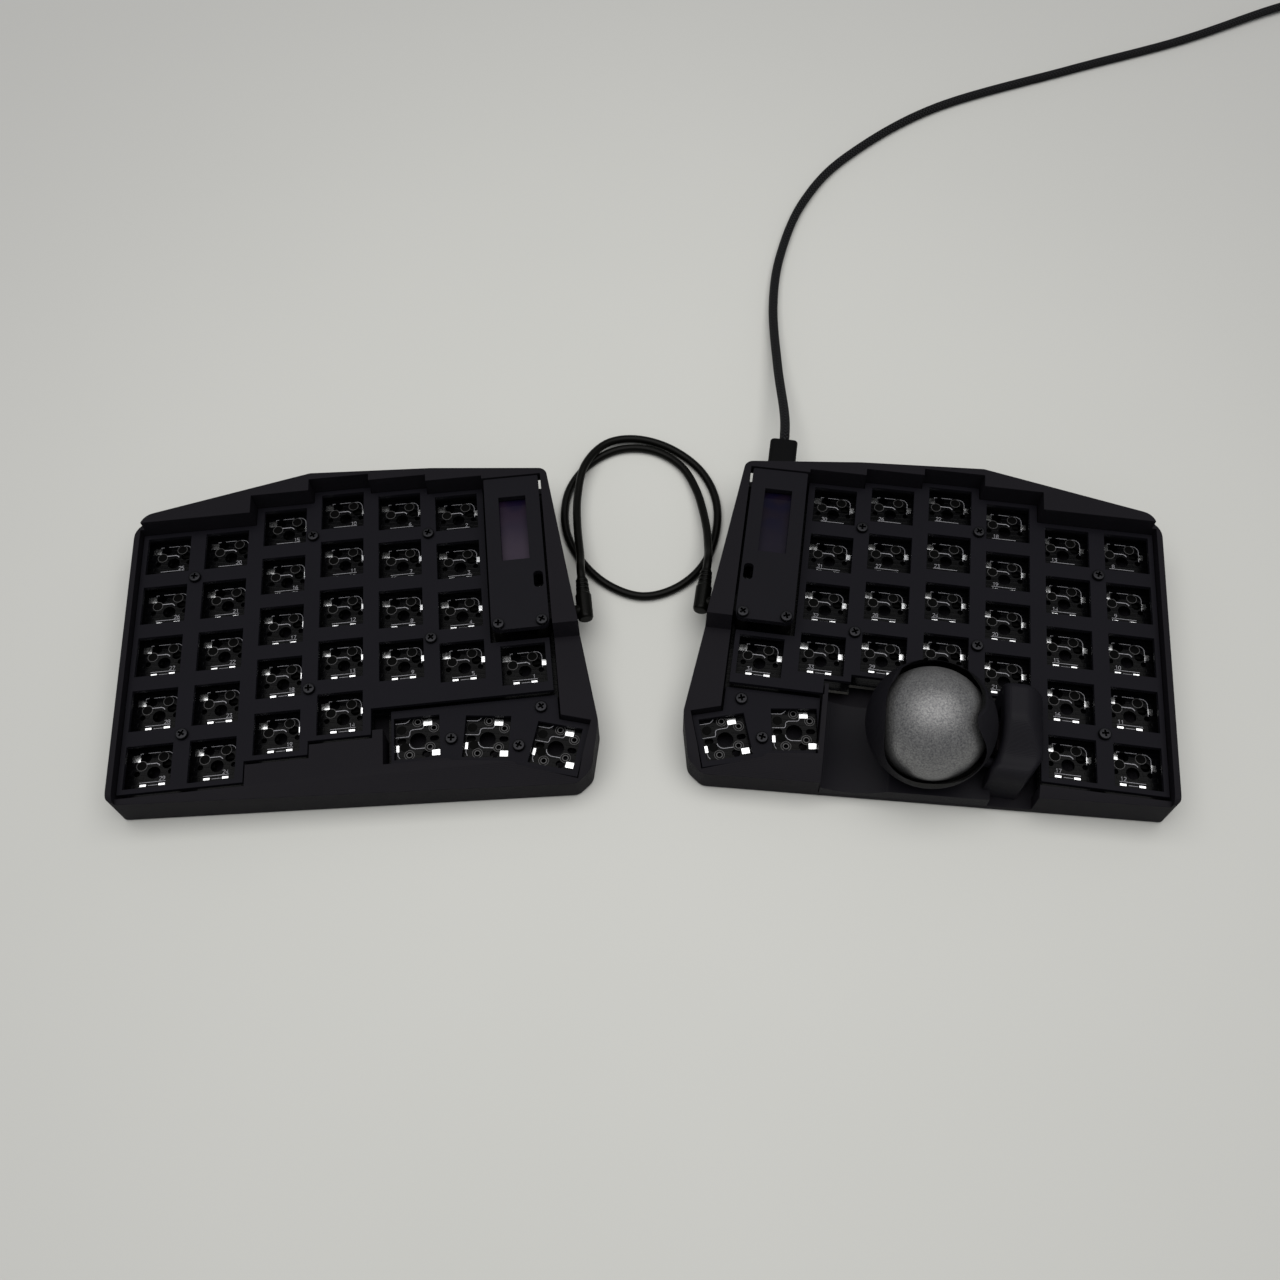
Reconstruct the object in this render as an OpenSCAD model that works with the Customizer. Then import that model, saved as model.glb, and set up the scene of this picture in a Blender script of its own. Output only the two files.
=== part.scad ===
// Split keyboard with a trackball: two mirrored halves with open switch wells, a link cord and a USB cord.
// A half is drawn in its own frame, with the middle key at the origin and its outer side at -X;
// the right half is the same drawing mirrored. Z is measured from the desk.

/* [Keys] */
// Distance between neighbouring key centres
key_pitch = 19.05; // [18:0.05:20]
// Side of a square switch well
well = 14; // [13.6:0.1:15]
// Plate edge beyond the centres of the outer keys
plate_margin = 8.6; // [8:0.1:9.4]
// Turn of the middle thumb key
thumb_turn = -7.5; // [-15:0.5:0]
// Turn of the inner thumb key
inner_thumb_turn = -17.5; // [-25:0.5:-8]

/* [Halves] */
// Distance between the middle keys of the two halves
half_gap = 194.2; // [185:0.1:260]
// Turn of the left half
left_yaw = 6.2; // [0:0.1:10]
// Turn of the right half
right_yaw = -8.3; // [-12:0.1:0]

/* [Case] */
// Height of the rubber feet below the tray
foot_h = 0.8; // [0.4:0.1:3]
// Diameter of a rubber foot
foot_d = 10; // [6:0.5:12]
// Tray floor thickness
floor_t = 2; // [1.2:0.1:4]
// Thickness of the outer side wall
wall_t = 1.8; // [1.2:0.1:3]
// Thickness of the rear wall at its kink
rear_t = 2.5; // [1.6:0.1:4]
// Height of the side wall over the switch plate
side_rise = 3; // [1:0.1:6]
// Height of the rear wall over the switch plate
rear_rise = 7; // [5:0.1:12]
// Gap between the plate and the walls
wall_gap = 0.4; // [0.2:0.05:1]
// Gap between the plate and the front bezel
front_gap = 1.2; // [0.3:0.1:2]
// Fall of the front bezel for each millimetre forward
bezel_fall = 0.4; // [0.1:0.05:0.6]

/* [Boards and plates] */
// Room between the floor and the circuit board
board_room = 3.6; // [3:0.1:8]
// Circuit board thickness
board_t = 1.6; // [1:0.1:2]
// Height of the plate's top over the board's top
plate_rise = 5; // [4:0.1:6]
// Switch plate thickness
plate_t = 1.5; // [1.2:0.1:2]
// Height of the thumb plate's top over the board's top
thumb_rise = 2.2; // [1.8:0.1:3]
// Thumb plate thickness
thumb_t = 1.3; // [1:0.1:1.6]

/* [Fasteners] */
// Screw shank diameter
screw_d = 2; // [1.6:0.1:2.6]
// Screw head diameter
head_d = 3.8; // [3.2:0.1:4.2]
// Screw head height
head_h = 1.3; // [0.8:0.1:2]
// Diametral clearance of screw holes
screw_clear = 0.3; // [0.2:0.05:0.5]
// Outer diameter of a spacer tube
spacer_d = 4; // [3.4:0.1:4.6]

/* [Display bay] */
// Width of the display cover
cover_w = 18.2; // [17:0.1:19]
// Cover thickness
cover_t = 2; // [1.2:0.1:3]
// Depth of the cover's top below the rear wall's top
cover_sink = 0.4; // [0:0.1:1]
// Width of the display window
window_w = 8.9; // [6:0.1:11]
// Length of the display window
window_l = 25; // [20:0.1:30]
// Width of the controller board
control_w = 18; // [16:0.1:18]
// Length of the controller board
control_l = 33; // [28:0.5:34]
// Travel of the reset button
reset_travel = 0.25; // [0.15:0.05:0.4]

/* [Trackball] */
// Ball diameter
ball_d = 34; // [30:0.5:36]
// Radial gap between the ball and its cup
ball_clear = 0.6; // [0.4:0.05:1]
// Cup wall thickness
cup_t = 1.6; // [1.2:0.1:3]
// Gap between the ball and the tray floor
ball_lift = 0.6; // [0.4:0.1:2]
// Lean of the cup's mouth towards the user
mouth_lean = 27; // [10:1:35]
// Lean of the cup's mouth towards the other half
mouth_side = 9; // [0:1:15]
// Turn of the mouth about its own axis
mouth_roll = -7; // [-12:1:0]
// Diameter of the three support balls
support_d = 2.5; // [2:0.1:3]

/* [Cords] */
// Diameter of the link cord
link_d = 2.8; // [2.4:0.1:3.4]
// Diameter of the braided USB cord
usb_d = 3.4; // [3:0.1:3.8]
// Turns in each layer of the put-away coil
coil_turns = 2; // [1:1:3]
// Diameter of the coil's middle turn
coil_d = 40; // [34:1:46]
// Gap between neighbouring turns
coil_gap = 1; // [0.6:0.1:2]

/* [Hidden] */
$fn = 48;
eps = 0.02;

// Place of the object's middle, so that the two trays stand centred on the origin
mid_x = 0.483;
mid_y = -8.971;

// Heights from the desk up
floor_top = foot_h + floor_t;
board_low = floor_top + board_room;
board_top = board_low + board_t;
plate_top = board_top + plate_rise;
plate_low = plate_top - plate_t;
thumb_top = board_top + thumb_rise;
thumb_low = thumb_top - thumb_t;
side_top = plate_top + side_rise;
rear_top = plate_top + rear_rise;
cover_top = rear_top - cover_sink;
cover_low = cover_top - cover_t;

// Columns 1 (outer) to 7 (inner) and their stagger along the columns
stagger = [-11.4, -11.4, -4.5, 0, -2.6, -5.2, -8.5];
left_rows = [5, 5, 5, 5, 4, 4];
right_rows = [5, 5, 4, 4, 4, 4];
function col_x(c) = (c - 4) * key_pitch;
function side_x(c) = col_x(c) + key_pitch / 2;
function key_y(c, r) = (3 - r) * key_pitch + stagger[c - 1];
function key_list(rows) = concat(
    [for (c = [1 : 6]) for (r = [1 : rows[c - 1]]) [col_x(c), key_y(c, r), 0]],
    [[col_x(7), key_y(7, 4), 0]]);
left_keys = key_list(left_rows);
right_keys = key_list(right_rows);

// Thumb keys: centre and turn
thumb_1 = [col_x(5) + 3.95, key_y(5, 4) - 26.15, 0];
thumb_2 = [thumb_1.x + 21.2, thumb_1.y - 2.1, thumb_turn];
thumb_3 = [thumb_2.x + 20.6, thumb_2.y - 5.4, inner_thumb_turn];
left_thumbs = [thumb_1, thumb_2, thumb_3];
right_thumbs = [thumb_2, thumb_3];
function at_key(k, x, y) = [k.x + x * cos(k.z) - y * sin(k.z), k.y + x * sin(k.z) + y * cos(k.z)];
// Point on the front edge of a thumb key's field, h in front of its centre, at a given x
function front_at(k, h, x) = at_key(k, (x - k.x - h * sin(k.z)) / cos(k.z), -h);
// Point on its rear edge at a given x
function rear_at(k, h, x) = at_key(k, (x - k.x + h * sin(k.z)) / cos(k.z), h);

// Plate edges, far (top) and near (low)
function far_edge(c) = key_y(c, 1) + plate_margin;
function near_edge(c, r) = key_y(c, r) - plate_margin;
plate_x0 = col_x(1) - plate_margin;
plate_x1 = col_x(7) + plate_margin;
control_side = side_x(6) - wall_gap;
inner_far = key_y(7, 4) + plate_margin;
thumb_edge = key_y(7, 4) - 10.25;

// Display bay
bay_x0 = control_side + wall_gap;
trench_x = bay_x0 - 10.8;
bay_x1 = plate_x1 + 1.55;
bay_far = far_edge(6) - 0.9;
bay_mid = (bay_x0 + bay_x1) / 2 - 0.1;
cover_far = bay_far - wall_gap;
cover_near = inner_far + 0.5;
cover_hole_y = cover_near + 2;
cover_holes = [[bay_mid - 6.8, cover_hole_y], [bay_mid + 6.8, cover_hole_y]];
display_y = (cover_far + cover_near) / 2 + 8.9;
reset_at = [bay_mid + 6.7, display_y - 20.7];
ledge_t = 1.6;
control_y1 = cover_far - 2;
control_low = board_top + 2;
control_t = 1;
usb_z = control_low + control_t + 1.6;

// Link jack in the inner wall
jack_y = inner_far + 9.75;
jack_l = 12.1;
jack_w = 6;
jack_h = 5;
jack_z = board_top + jack_h / 2;
jack_x1 = bay_x1 + 5.6;
step_y = inner_far - 0.05;

// Screw places
left_plate_holes = [[side_x(1), key_y(1, 1) - 10.1], [side_x(3), key_y(4, 1) - 9.7],
    [side_x(5), key_y(5, 1) - 10.5],
    [side_x(5), key_y(5, 3) - 12.6], [side_x(3), key_y(4, 4) - 10], [side_x(1), key_y(1, 4) - 9.8]];
right_plate_holes = [[side_x(1), key_y(1, 1) - 10.1], [side_x(3), key_y(4, 1) - 9.7],
    [side_x(5), key_y(5, 1) - 10.5], [side_x(5), key_y(5, 3) - 12.6], [side_x(3), key_y(4, 3) - 14.9],
    [side_x(1), key_y(1, 4) - 9.8]];
thumb_hole_12 = [(thumb_1.x + thumb_2.x) / 2 - 0.1, (thumb_1.y + thumb_2.y) / 2 - 0.8];
thumb_hole_23 = [(thumb_2.x + thumb_3.x) / 2 - 0.7, (thumb_2.y + thumb_3.y) / 2 - 1.7];
thumb_hole_far = [thumb_3.x - 3.4, thumb_3.y + 13.3];
left_thumb_holes = [thumb_hole_12, thumb_hole_23, thumb_hole_far];
right_thumb_holes = [thumb_hole_23, thumb_hole_far];
boss_d = spacer_d + 1.2;
screw_low = floor_top + 1.2;

// Trackball in the right half's own frame
ball_r = ball_d / 2;
ball_z = floor_top + ball_lift + ball_r;
ball_at = [side_x(3) + 14.6, near_edge(4, 4) - 19.85, ball_z];
cup_in = ball_r + ball_clear;
cup_out = cup_in + cup_t;
nest_x0 = side_x(2) + 0.1;
nest_x1 = bay_x0 - 12.4;
rib_t = 1.6;
hood_x1 = ball_at.x - cup_out - 1.4;
hood_x0 = nest_x0 + 0.2;
hood_far = key_y(3, 4) - 8.5;
hood_top = plate_top + 12.4;
sensor_tilt = 20;
sensor_stand = 5.8;

// Tray outline, with a corner radius for each point
outer_x = plate_x0 - wall_gap - wall_t;
front_y = near_edge(1, 5) - front_gap - 1.6;
slope_y = front_y + 0.9;
outline_points = [[outer_x, front_y, 1.6], [thumb_3.x + 5.6, thumb_3.y - 13, 4],
    [thumb_3.x + 10.4, thumb_3.y - 9.2, 5], [thumb_3.x + 13.7, thumb_3.y + 5.3, 8],
        [bay_x1 + 2, bay_far + 1.9, 3],
    [side_x(5) + 2.4, far_edge(5) + wall_gap + rear_t, 30], [side_x(3), far_edge(4) + wall_gap + rear_t, 3],
    [outer_x, far_edge(1) + 2.4, 6]];
// Rear wall: the same outline, with its outer end set in from the side wall
rear_inset = wall_t + 1.3;
rear_slope = (far_edge(4) + wall_gap + rear_t - far_edge(1) - 2.4) / (side_x(3) - outer_x);
rear_points = concat([for (i = [0 : len(outline_points) - 2]) outline_points[i]],
    [[outer_x + rear_inset, far_edge(1) + 2.4 + rear_slope * rear_inset, 5]]);
function unit(v) = v / norm(v);
function flat(p) = [p.x, p.y];
function arc(a, b, c, r, n) = let (u = unit(flat(a) - flat(b)), v = unit(flat(c) - flat(b)),
    h = acos(u * v) / 2,
    m = flat(b) + unit(u + v) * r / sin(h), s = flat(b) + u * r / tan(h) - m,
        e = flat(b) + v * r / tan(h) - m,
    a0 = atan2(s.y, s.x), da = (atan2(e.y, e.x) - a0 + 540) % 360 - 180)
    [for (i = [0 : n]) m + r * [cos(a0 + da * i / n), sin(a0 + da * i / n)]];
function corner(a, b, c, r, n) = r == 0 ? [flat(b)] : arc(a, b, c, r, n);
function rounded(q, n) = let (k = len(q))
    [for (i = [0 : k - 1]) each corner(q[(i + k - 1) % k], q[i], q[(i + 1) % k], q[i].z, n)];

// Stepped outline of a switch plate, grown by g, and by f at the front bezel
function far_steps(g) = [[control_side + g, inner_far + g], [control_side + g, far_edge(6) + g],
    [side_x(5) + g, far_edge(6) + g], [side_x(5) + g, far_edge(5) + g], [side_x(4) + g, far_edge(5) + g],
    [side_x(4) + g, far_edge(4) + g], [side_x(3) - g, far_edge(4) + g], [side_x(3) - g, far_edge(3) + g],
    [side_x(2) - g, far_edge(3) + g], [side_x(2) - g, far_edge(2) + g], [plate_x0 - g, far_edge(1) + g]];
function left_steps(g, f) = concat([[plate_x0 - g, near_edge(1, 5) - f], [side_x(2) + g, near_edge(2, 5) - f],
    [side_x(2) + g, near_edge(3, 5) - f], [side_x(3) + g, near_edge(3, 5) - f],
        [side_x(3) + g, near_edge(4, 5) - f],
    [side_x(4) + g, near_edge(4, 5) - f], [side_x(4) + g, thumb_edge - g], [plate_x1 + g, thumb_edge - g],
    [plate_x1 + g, inner_far + g]], far_steps(g));
function right_steps(g, f, b) = concat([[plate_x0 - g, near_edge(1, 5) - f],
    [side_x(2) - 0.3 + g, near_edge(2, 5) - f],
    [side_x(2) - 0.3 + g, key_y(3, 4) - 8.05 - g], [side_x(3) + g, key_y(3, 4) - 8.05 - g],
    [side_x(3) + g, near_edge(4, 4) - g], [side_x(4) - g, near_edge(4, 4) - g],
    [side_x(4) - g, near_edge(5, 4) - g - b], [side_x(5) - g, near_edge(5, 4) - g - b],
    [side_x(5) - g, near_edge(6, 4) - g - b], [trench_x - g, near_edge(6, 4) - g - b],
    [trench_x - g, thumb_edge - g], [plate_x1 + g, thumb_edge - g], [plate_x1 + g, inner_far + g]],
        far_steps(g));
// Field of the thumb keys, h beyond their centres, from x = l on, below y = t
function left_field(h, l, t, r) = [[l, t], front_at(thumb_1, h, l), at_key(thumb_1, h, -h),
    at_key(thumb_2, -h, -h),
    at_key(thumb_2, h, -h), at_key(thumb_3, -h, -h), at_key(thumb_3, h, -h), at_key(thumb_3, h, h),
    rear_at(thumb_3, h, r), [r, t]];
function right_field(h, l, t, r) = [[l, t], front_at(thumb_2, h, l), at_key(thumb_2, h, -h),
    at_key(thumb_3, -h, -h),
    at_key(thumb_3, h, -h), at_key(thumb_3, h, h), rear_at(thumb_3, h, r), [r, t]];

module place_left() translate([-half_gap / 2 - mid_x, -mid_y, 0]) rotate([0, 0, left_yaw]) children();
module place_right() translate([half_gap / 2 - mid_x, -mid_y, 0]) rotate([0, 0, right_yaw])
    mirror([1, 0, 0]) children();
function left_at(p) = [-half_gap / 2 - mid_x + p.x * cos(left_yaw) - p.y * sin(left_yaw),
    -mid_y + p.x * sin(left_yaw) + p.y * cos(left_yaw), p.z];
function right_at(p) = [half_gap / 2 - mid_x - p.x * cos(right_yaw) - p.y * sin(right_yaw),
    -mid_y - p.x * sin(right_yaw) + p.y * cos(right_yaw), p.z];

module drill(places, d, low, high) for (p = places) translate([p.x, p.y, low])
    cylinder(d = d, h = high - low);

// Tray: floor, bezel, side wall, high rear wall and the wedge over the link jack
module tray_blank() {
    intersection() {
        translate([0, 0, foot_h]) linear_extrude(plate_top - foot_h) polygon(rounded(outline_points, 6));
        translate([-150, 0, 0]) rotate([90, 0, 90]) linear_extrude(300) polygon([[-120, -40], [120, -40],
            [120, plate_top], [slope_y, plate_top], [-120, plate_top - (slope_y + 120) * bezel_fall]]);
    }
    intersection() {
        translate([0, 0, foot_h]) linear_extrude(side_top - foot_h) polygon(rounded(outline_points, 6));
        union() {
            translate([outer_x - 1, -120, foot_h]) cube([wall_t + 1, 120 + far_edge(1), side_top]);
            translate([outer_x - 1, far_edge(1) - 0.3, foot_h]) cube([rear_inset + 3, 12, side_top]);
        }
        translate([-150, 0, 0]) rotate([90, 0, 90]) linear_extrude(300)
            polygon(rounded([[front_y - 1, -40, 0],
            [100, -40, 0], [100, side_top, 0], [front_y - 1, side_top, side_rise + 1]], 6));
    }
    intersection() {
        translate([0, 0, foot_h]) linear_extrude(rear_top - foot_h) polygon(rounded(rear_points, 6));
        union() {
            translate([-100, far_edge(1) - 0.3, foot_h]) cube([200, 60, rear_top]);
            translate([bay_x1 - 1, 0, 0]) rotate([90, 0, 90]) linear_extrude(40)
                polygon([[step_y - 0.4, foot_h], [120, foot_h], [120, rear_top], [step_y + 0.9, rear_top],
                [step_y - 0.4, plate_top]]);
        }
    }
}

module tray_bay() {
    translate([bay_x0, thumb_edge - wall_gap, floor_top]) cube([bay_x1 - bay_x0,
        bay_far - thumb_edge + wall_gap, 60]);
    translate([bay_x0 + 1, bay_far - 1, board_top + 0.3])
        cube([bay_x1 - bay_x0 - 0.2, 30, cover_low - ledge_t - board_top - 0.3]);
    translate([bay_x1 - 1, jack_y - jack_w / 2 - 0.6, floor_top])
        cube([jack_x1 - bay_x1 + 1.4, jack_w + 1.2, board_top + jack_h + 0.6 - floor_top]);
    translate([jack_x1 - 1, jack_y, jack_z]) rotate([0, 90, 0]) cylinder(d = 6.6, h = 20);
}

module tray_posts(places, high) difference() {
    drill(places, boss_d, floor_top - 0.5, high);
    drill(places, screw_d + screw_clear, screw_low - 0.6, high + 1);
}

module tray_ledge() translate([bay_x0 + 1.2, bay_far - 1.6, cover_low - ledge_t])
    cube([cover_w - 1, 2, ledge_t]);

foot_places = [[outer_x + 9, front_y + 9], [outer_x + 9, far_edge(1) - 9], [side_x(3), far_edge(4) - 8],
    [bay_mid + 2, bay_far - 9], [thumb_3.x + 2, thumb_3.y - 2]];

module left_tray() color([0.13, 0.125, 0.14]) place_left() {
    difference() {
        tray_blank();
        translate([0, 0, floor_top]) linear_extrude(60) polygon(left_steps(wall_gap, front_gap));
        translate([0, 0, floor_top]) linear_extrude(60)
            polygon(left_field(9.2, thumb_1.x - 9.9, thumb_edge + 1, bay_x1));
        translate([side_x(4) + wall_gap, thumb_edge - 7.4, floor_top]) cube([6, 8, 60]);
        tray_bay();
        drill(foot_places, foot_d + 0.2, 0, foot_h + 0.6);
    }
    tray_posts(concat(left_plate_holes, left_thumb_holes), board_low);
    tray_ledge();
}

module right_tray() color([0.13, 0.125, 0.14]) place_right() {
    difference() {
        tray_blank();
        translate([0, 0, floor_top]) linear_extrude(60) polygon(right_steps(wall_gap, front_gap, 1));
        translate([0, 0, floor_top]) linear_extrude(60)
            polygon(right_field(9.2, nest_x1 + rib_t, thumb_edge + 1, bay_x1));
        translate([nest_x0, -120, floor_top]) cube([nest_x1 - nest_x0, 120 + near_edge(4, 4), 60]);
        tray_bay();
        drill(foot_places, foot_d + 0.2, 0, foot_h + 0.6);
    }
    tray_posts(concat(right_plate_holes, right_thumb_holes), board_low);
    tray_ledge();
}

// Switch plates: stepped outline, a square well for each key, screw holes
module wells(keys) for (k = keys) translate([k.x, k.y, 0]) rotate([0, 0, k.z]) square(well, center = true);
module holes_2d(places, d) for (p = places) translate([p.x, p.y]) circle(d = d);

module left_plate() color([0.12, 0.115, 0.13]) place_left() translate([0, 0, plate_low])
    linear_extrude(plate_t)
    difference() {
        polygon(left_steps(0, 0));
        wells(left_keys);
        holes_2d(left_plate_holes, screw_d + screw_clear);
    }

module right_plate() color([0.12, 0.115, 0.13]) place_right() translate([0, 0, plate_low])
    linear_extrude(plate_t)
    difference() {
        polygon(right_steps(0, 0, 0));
        wells(right_keys);
        holes_2d(right_plate_holes, screw_d + screw_clear);
    }

module thumb_feet(places) difference() {
    drill(places, boss_d, board_top, thumb_low + 0.2);
    drill(places, screw_d + screw_clear, 0, 60);
}

module left_thumb_plate() color([0.12, 0.115, 0.13]) place_left() {
    translate([0, 0, thumb_low]) linear_extrude(thumb_t) difference() {
        polygon(left_field(8.8, thumb_1.x - 7.8, thumb_edge - wall_gap, plate_x1 + 0.9));
        wells(left_thumbs);
        holes_2d(left_thumb_holes, screw_d + screw_clear);
    }
    thumb_feet(left_thumb_holes);
}

module right_thumb_plate() color([0.12, 0.115, 0.13]) place_right() {
    translate([0, 0, thumb_low]) linear_extrude(thumb_t) difference() {
        polygon(right_field(8.8, nest_x1 + rib_t + wall_gap, thumb_edge - wall_gap, plate_x1 + 0.9));
        wells(right_thumbs);
        holes_2d(right_thumb_holes, screw_d + screw_clear);
    }
    thumb_feet(right_thumb_holes);
}

// Circuit boards with the holes of each hot-swap footprint
module main_print(keys) for (k = keys) translate([k.x, k.y]) {
    circle(d = 4);
    for (s = [-1, 1]) translate([s * 5.08, 0]) circle(d = 1.75, $fn = 24);
    for (s = [-1, 1]) {
        translate([s * 3.81, 2.54]) circle(d = 3, $fn = 32);
        translate([s * 2.54, 5.08]) circle(d = 3, $fn = 32);
    }
}
// Thumb footprint: both halves carry it the same way round, so the mirrored half turns it back with f = -1
thumb_pins = [[-5, 3.9], [-4, -2]];
thumb_vias = [[0, 6.2], [4.9, 3.8], [3.6, -2.6], [-2.7, -4.7]];
module thumb_print(keys, f) for (k = keys) translate([k.x, k.y]) rotate([0, 0, k.z]) mirror([1 - f, 0, 0]) {
    circle(d = 5);
    for (s = [-1, 1]) translate([s * 5, 0.2]) rotate([0, 0, 90]) oval(1.8, 2.8);
    for (p = thumb_pins) translate(p) circle(d = 2.9, $fn = 32);
    for (p = thumb_vias) translate(p) circle(d = 1.5, $fn = 20);
    translate([2.4, -4.9]) circle(d = 2.6, $fn = 32);
}

module board_bay() {
    translate([control_side - 1, thumb_edge]) square([bay_x1 - wall_gap - control_side + 1,
        bay_far - wall_gap - thumb_edge]);
    translate([bay_x1 - 1, jack_y - jack_w / 2 - 0.3]) square([jack_x1 - bay_x1 + 1, jack_w + 0.6]);
}

module left_pcb() color([0.1, 0.1, 0.11]) place_left() translate([0, 0, board_low]) linear_extrude(board_t)
    difference() {
        union() {
            polygon(left_steps(0, 0));
            polygon(left_field(8.7, thumb_1.x - 8.8, thumb_edge + 1, plate_x1 + 0.9));
            board_bay();
        }
        main_print(left_keys);
        thumb_print(left_thumbs, 1);
        holes_2d(concat(left_plate_holes, left_thumb_holes), screw_d + screw_clear);
    }

module right_pcb() color([0.1, 0.1, 0.11]) place_right() translate([0, 0, board_low]) linear_extrude(board_t)
    difference() {
        union() {
            polygon(right_steps(0, 0, 1));
            polygon(right_field(8.7, nest_x1 + rib_t + wall_gap, thumb_edge + 1, plate_x1 + 0.9));
            board_bay();
        }
        main_print(right_keys);
        thumb_print(right_thumbs, -1);
        holes_2d(concat(right_plate_holes, right_thumb_holes), screw_d + screw_clear);
        translate([ball_at.x, ball_at.y]) circle(r = sqrt(pow(cup_out, 2) - pow(ball_z - board_top, 2)) +
            2.6);
    }

// Hot-swap sockets and diodes under the boards
module key_socket() {
    translate([-6.3, 0.4, board_low - 1.85]) cube([5, 4.3, 1.85]);
    translate([-1.4, 2.9, board_low - 1.85]) cube([6.4, 4.3, 1.85]);
    translate([-3.81, 2.54, board_low - 1.85]) cylinder(d = 2.9, h = 1.85 + board_t);
    translate([2.54, 5.08, board_low - 1.85]) cylinder(d = 2.9, h = 1.85 + board_t);
    translate([-1.41, 2.9, board_low - 1.85]) cube([0.4, 1.8, 1.85]);
}
module thumb_socket() {
    translate([-6.5, -3.6, board_low - 1.85]) cube([3.6, 9.2, 1.85]);
    for (p = thumb_pins) translate([p.x, p.y, board_low - 1.85]) cylinder(d = 2.8, h = 1.85 + board_t);
}
module half_sockets(keys, thumbs, f) {
    for (k = keys) translate([k.x, k.y, 0]) mirror([1 - f, 0, 0]) key_socket();
    for (k = thumbs) translate([k.x, k.y, 0]) rotate([0, 0, k.z]) mirror([1 - f, 0, 0]) thumb_socket();
}
module key_sockets() color([0.16, 0.16, 0.17]) {
    place_left() half_sockets(left_keys, left_thumbs, 1);
    place_right() half_sockets(right_keys, right_thumbs, -1);
}
module diode() translate([0, -5.6, board_low - 0.6]) cube([3.6, 1.6, 1.2], center = true);
module diodes() color([0.2, 0.2, 0.2]) {
    place_left() for (k = concat(left_keys, left_thumbs)) translate([k.x, k.y, 0])
        rotate([0, 0, k.z]) diode();
    place_right() for (k = concat(right_keys, right_thumbs)) translate([k.x, k.y, 0])
        rotate([0, 0, k.z]) diode();
}

// Spacers and screws
module tubes(places, low, high) difference() {
    drill(places, spacer_d, low, high);
    drill(places, screw_d + screw_clear, low - 1, high + 1);
}
module plate_spacers() color([0.16, 0.15, 0.14]) {
    place_left() tubes(left_plate_holes, board_top, plate_low);
    place_right() tubes(right_plate_holes, board_top, plate_low);
}
module cover_spacers() color([0.16, 0.15, 0.14]) {
    place_left() tubes(cover_holes, board_top, cover_low);
    place_right() tubes(cover_holes, board_top, cover_low);
}
// Pan head turned from its half section, on a plain shank
module screw(seat, low) translate([0, 0, seat]) {
    rotate_extrude() polygon([[0, 0], [head_d / 2, 0], [head_d / 2, head_h * 0.45],
        [head_d * 0.42, head_h * 0.8],
        [head_d * 0.28, head_h], [0, head_h]]);
    translate([0, 0, low - seat]) cylinder(d = screw_d, h = seat - low + 0.1);
}
module screws(places, seat, low) for (p = places) translate([p.x, p.y, 0]) screw(seat, low);
module plate_screws() color([0.55, 0.55, 0.56]) {
    place_left() screws(left_plate_holes, plate_top, screw_low);
    place_right() screws(right_plate_holes, plate_top, screw_low);
}
module thumb_screws() color([0.55, 0.55, 0.56]) {
    place_left() screws(left_thumb_holes, thumb_top, screw_low);
    place_right() screws(right_thumb_holes, thumb_top, screw_low);
}
module cover_screws() color([0.55, 0.55, 0.56]) {
    place_left() screws(cover_holes, cover_top, cover_low - 5);
    place_right() screws(cover_holes, cover_top, cover_low - 5);
}

// Display covers: lid with a bevelled window, a reset slot and two screw holes
module cover() difference() {
    translate([0, 0, cover_low]) linear_extrude(cover_t) polygon(rounded([
        [bay_mid - cover_w / 2, cover_near, 2.4], [bay_mid + cover_w / 2, cover_near, 2.4],
        [bay_mid + cover_w / 2, cover_far, 0.6], [bay_mid - cover_w / 2, cover_far, 0.6]], 5));
    translate([bay_mid - window_w / 2, display_y - window_l / 2, cover_low - 1])
        cube([window_w, window_l, cover_t + 2]);
    translate([reset_at.x, reset_at.y, cover_low - 1]) linear_extrude(cover_t + 2) polygon(rounded([
        [-1.5, -3, 1.2], [1.5, -3, 1.2], [1.5, 3, 1.2], [-1.5, 3, 1.2]], 5));
    drill(cover_holes, screw_d + screw_clear, cover_low - 1, cover_top + 1);
}
module left_cover() color([0.12, 0.12, 0.125]) place_left() cover();
module right_cover() color([0.12, 0.12, 0.125]) place_right() cover();

// Controller board on two pin rows, with its USB socket
module pin_places() for (s = [-1, 1]) for (i = [0 : 11]) translate([bay_mid + s * 7.62,
    control_y1 - 2.6 - i * 2.54, 0])
    children();
module controller() difference() {
    translate([bay_mid - control_w / 2, control_y1 - control_l, control_low])
        cube([control_w, control_l, control_t]);
    pin_places() translate([0, 0, control_low - 1]) cylinder(d = 1, h = control_t + 2, $fn = 16);
}
module left_controller() color([0.08, 0.1, 0.2]) place_left() controller();
module right_controller() color([0.08, 0.1, 0.2]) place_right() controller();

module header() {
    for (s = [-1, 1]) translate([bay_mid + s * 7.62 - 1.27, control_y1 - 2.6 - 11 * 2.54 - 1.27, board_top])
        cube([2.54, 12 * 2.54, control_low - board_top]);
    pin_places() translate([-0.32, -0.32, board_top + 0.5]) cube([0.64, 0.64,
        control_low + control_t + 1.4 - board_top - 0.5]);
}
module pin_headers() color([0.75, 0.65, 0.35]) {
    place_left() header();
    place_right() header();
}

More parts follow.
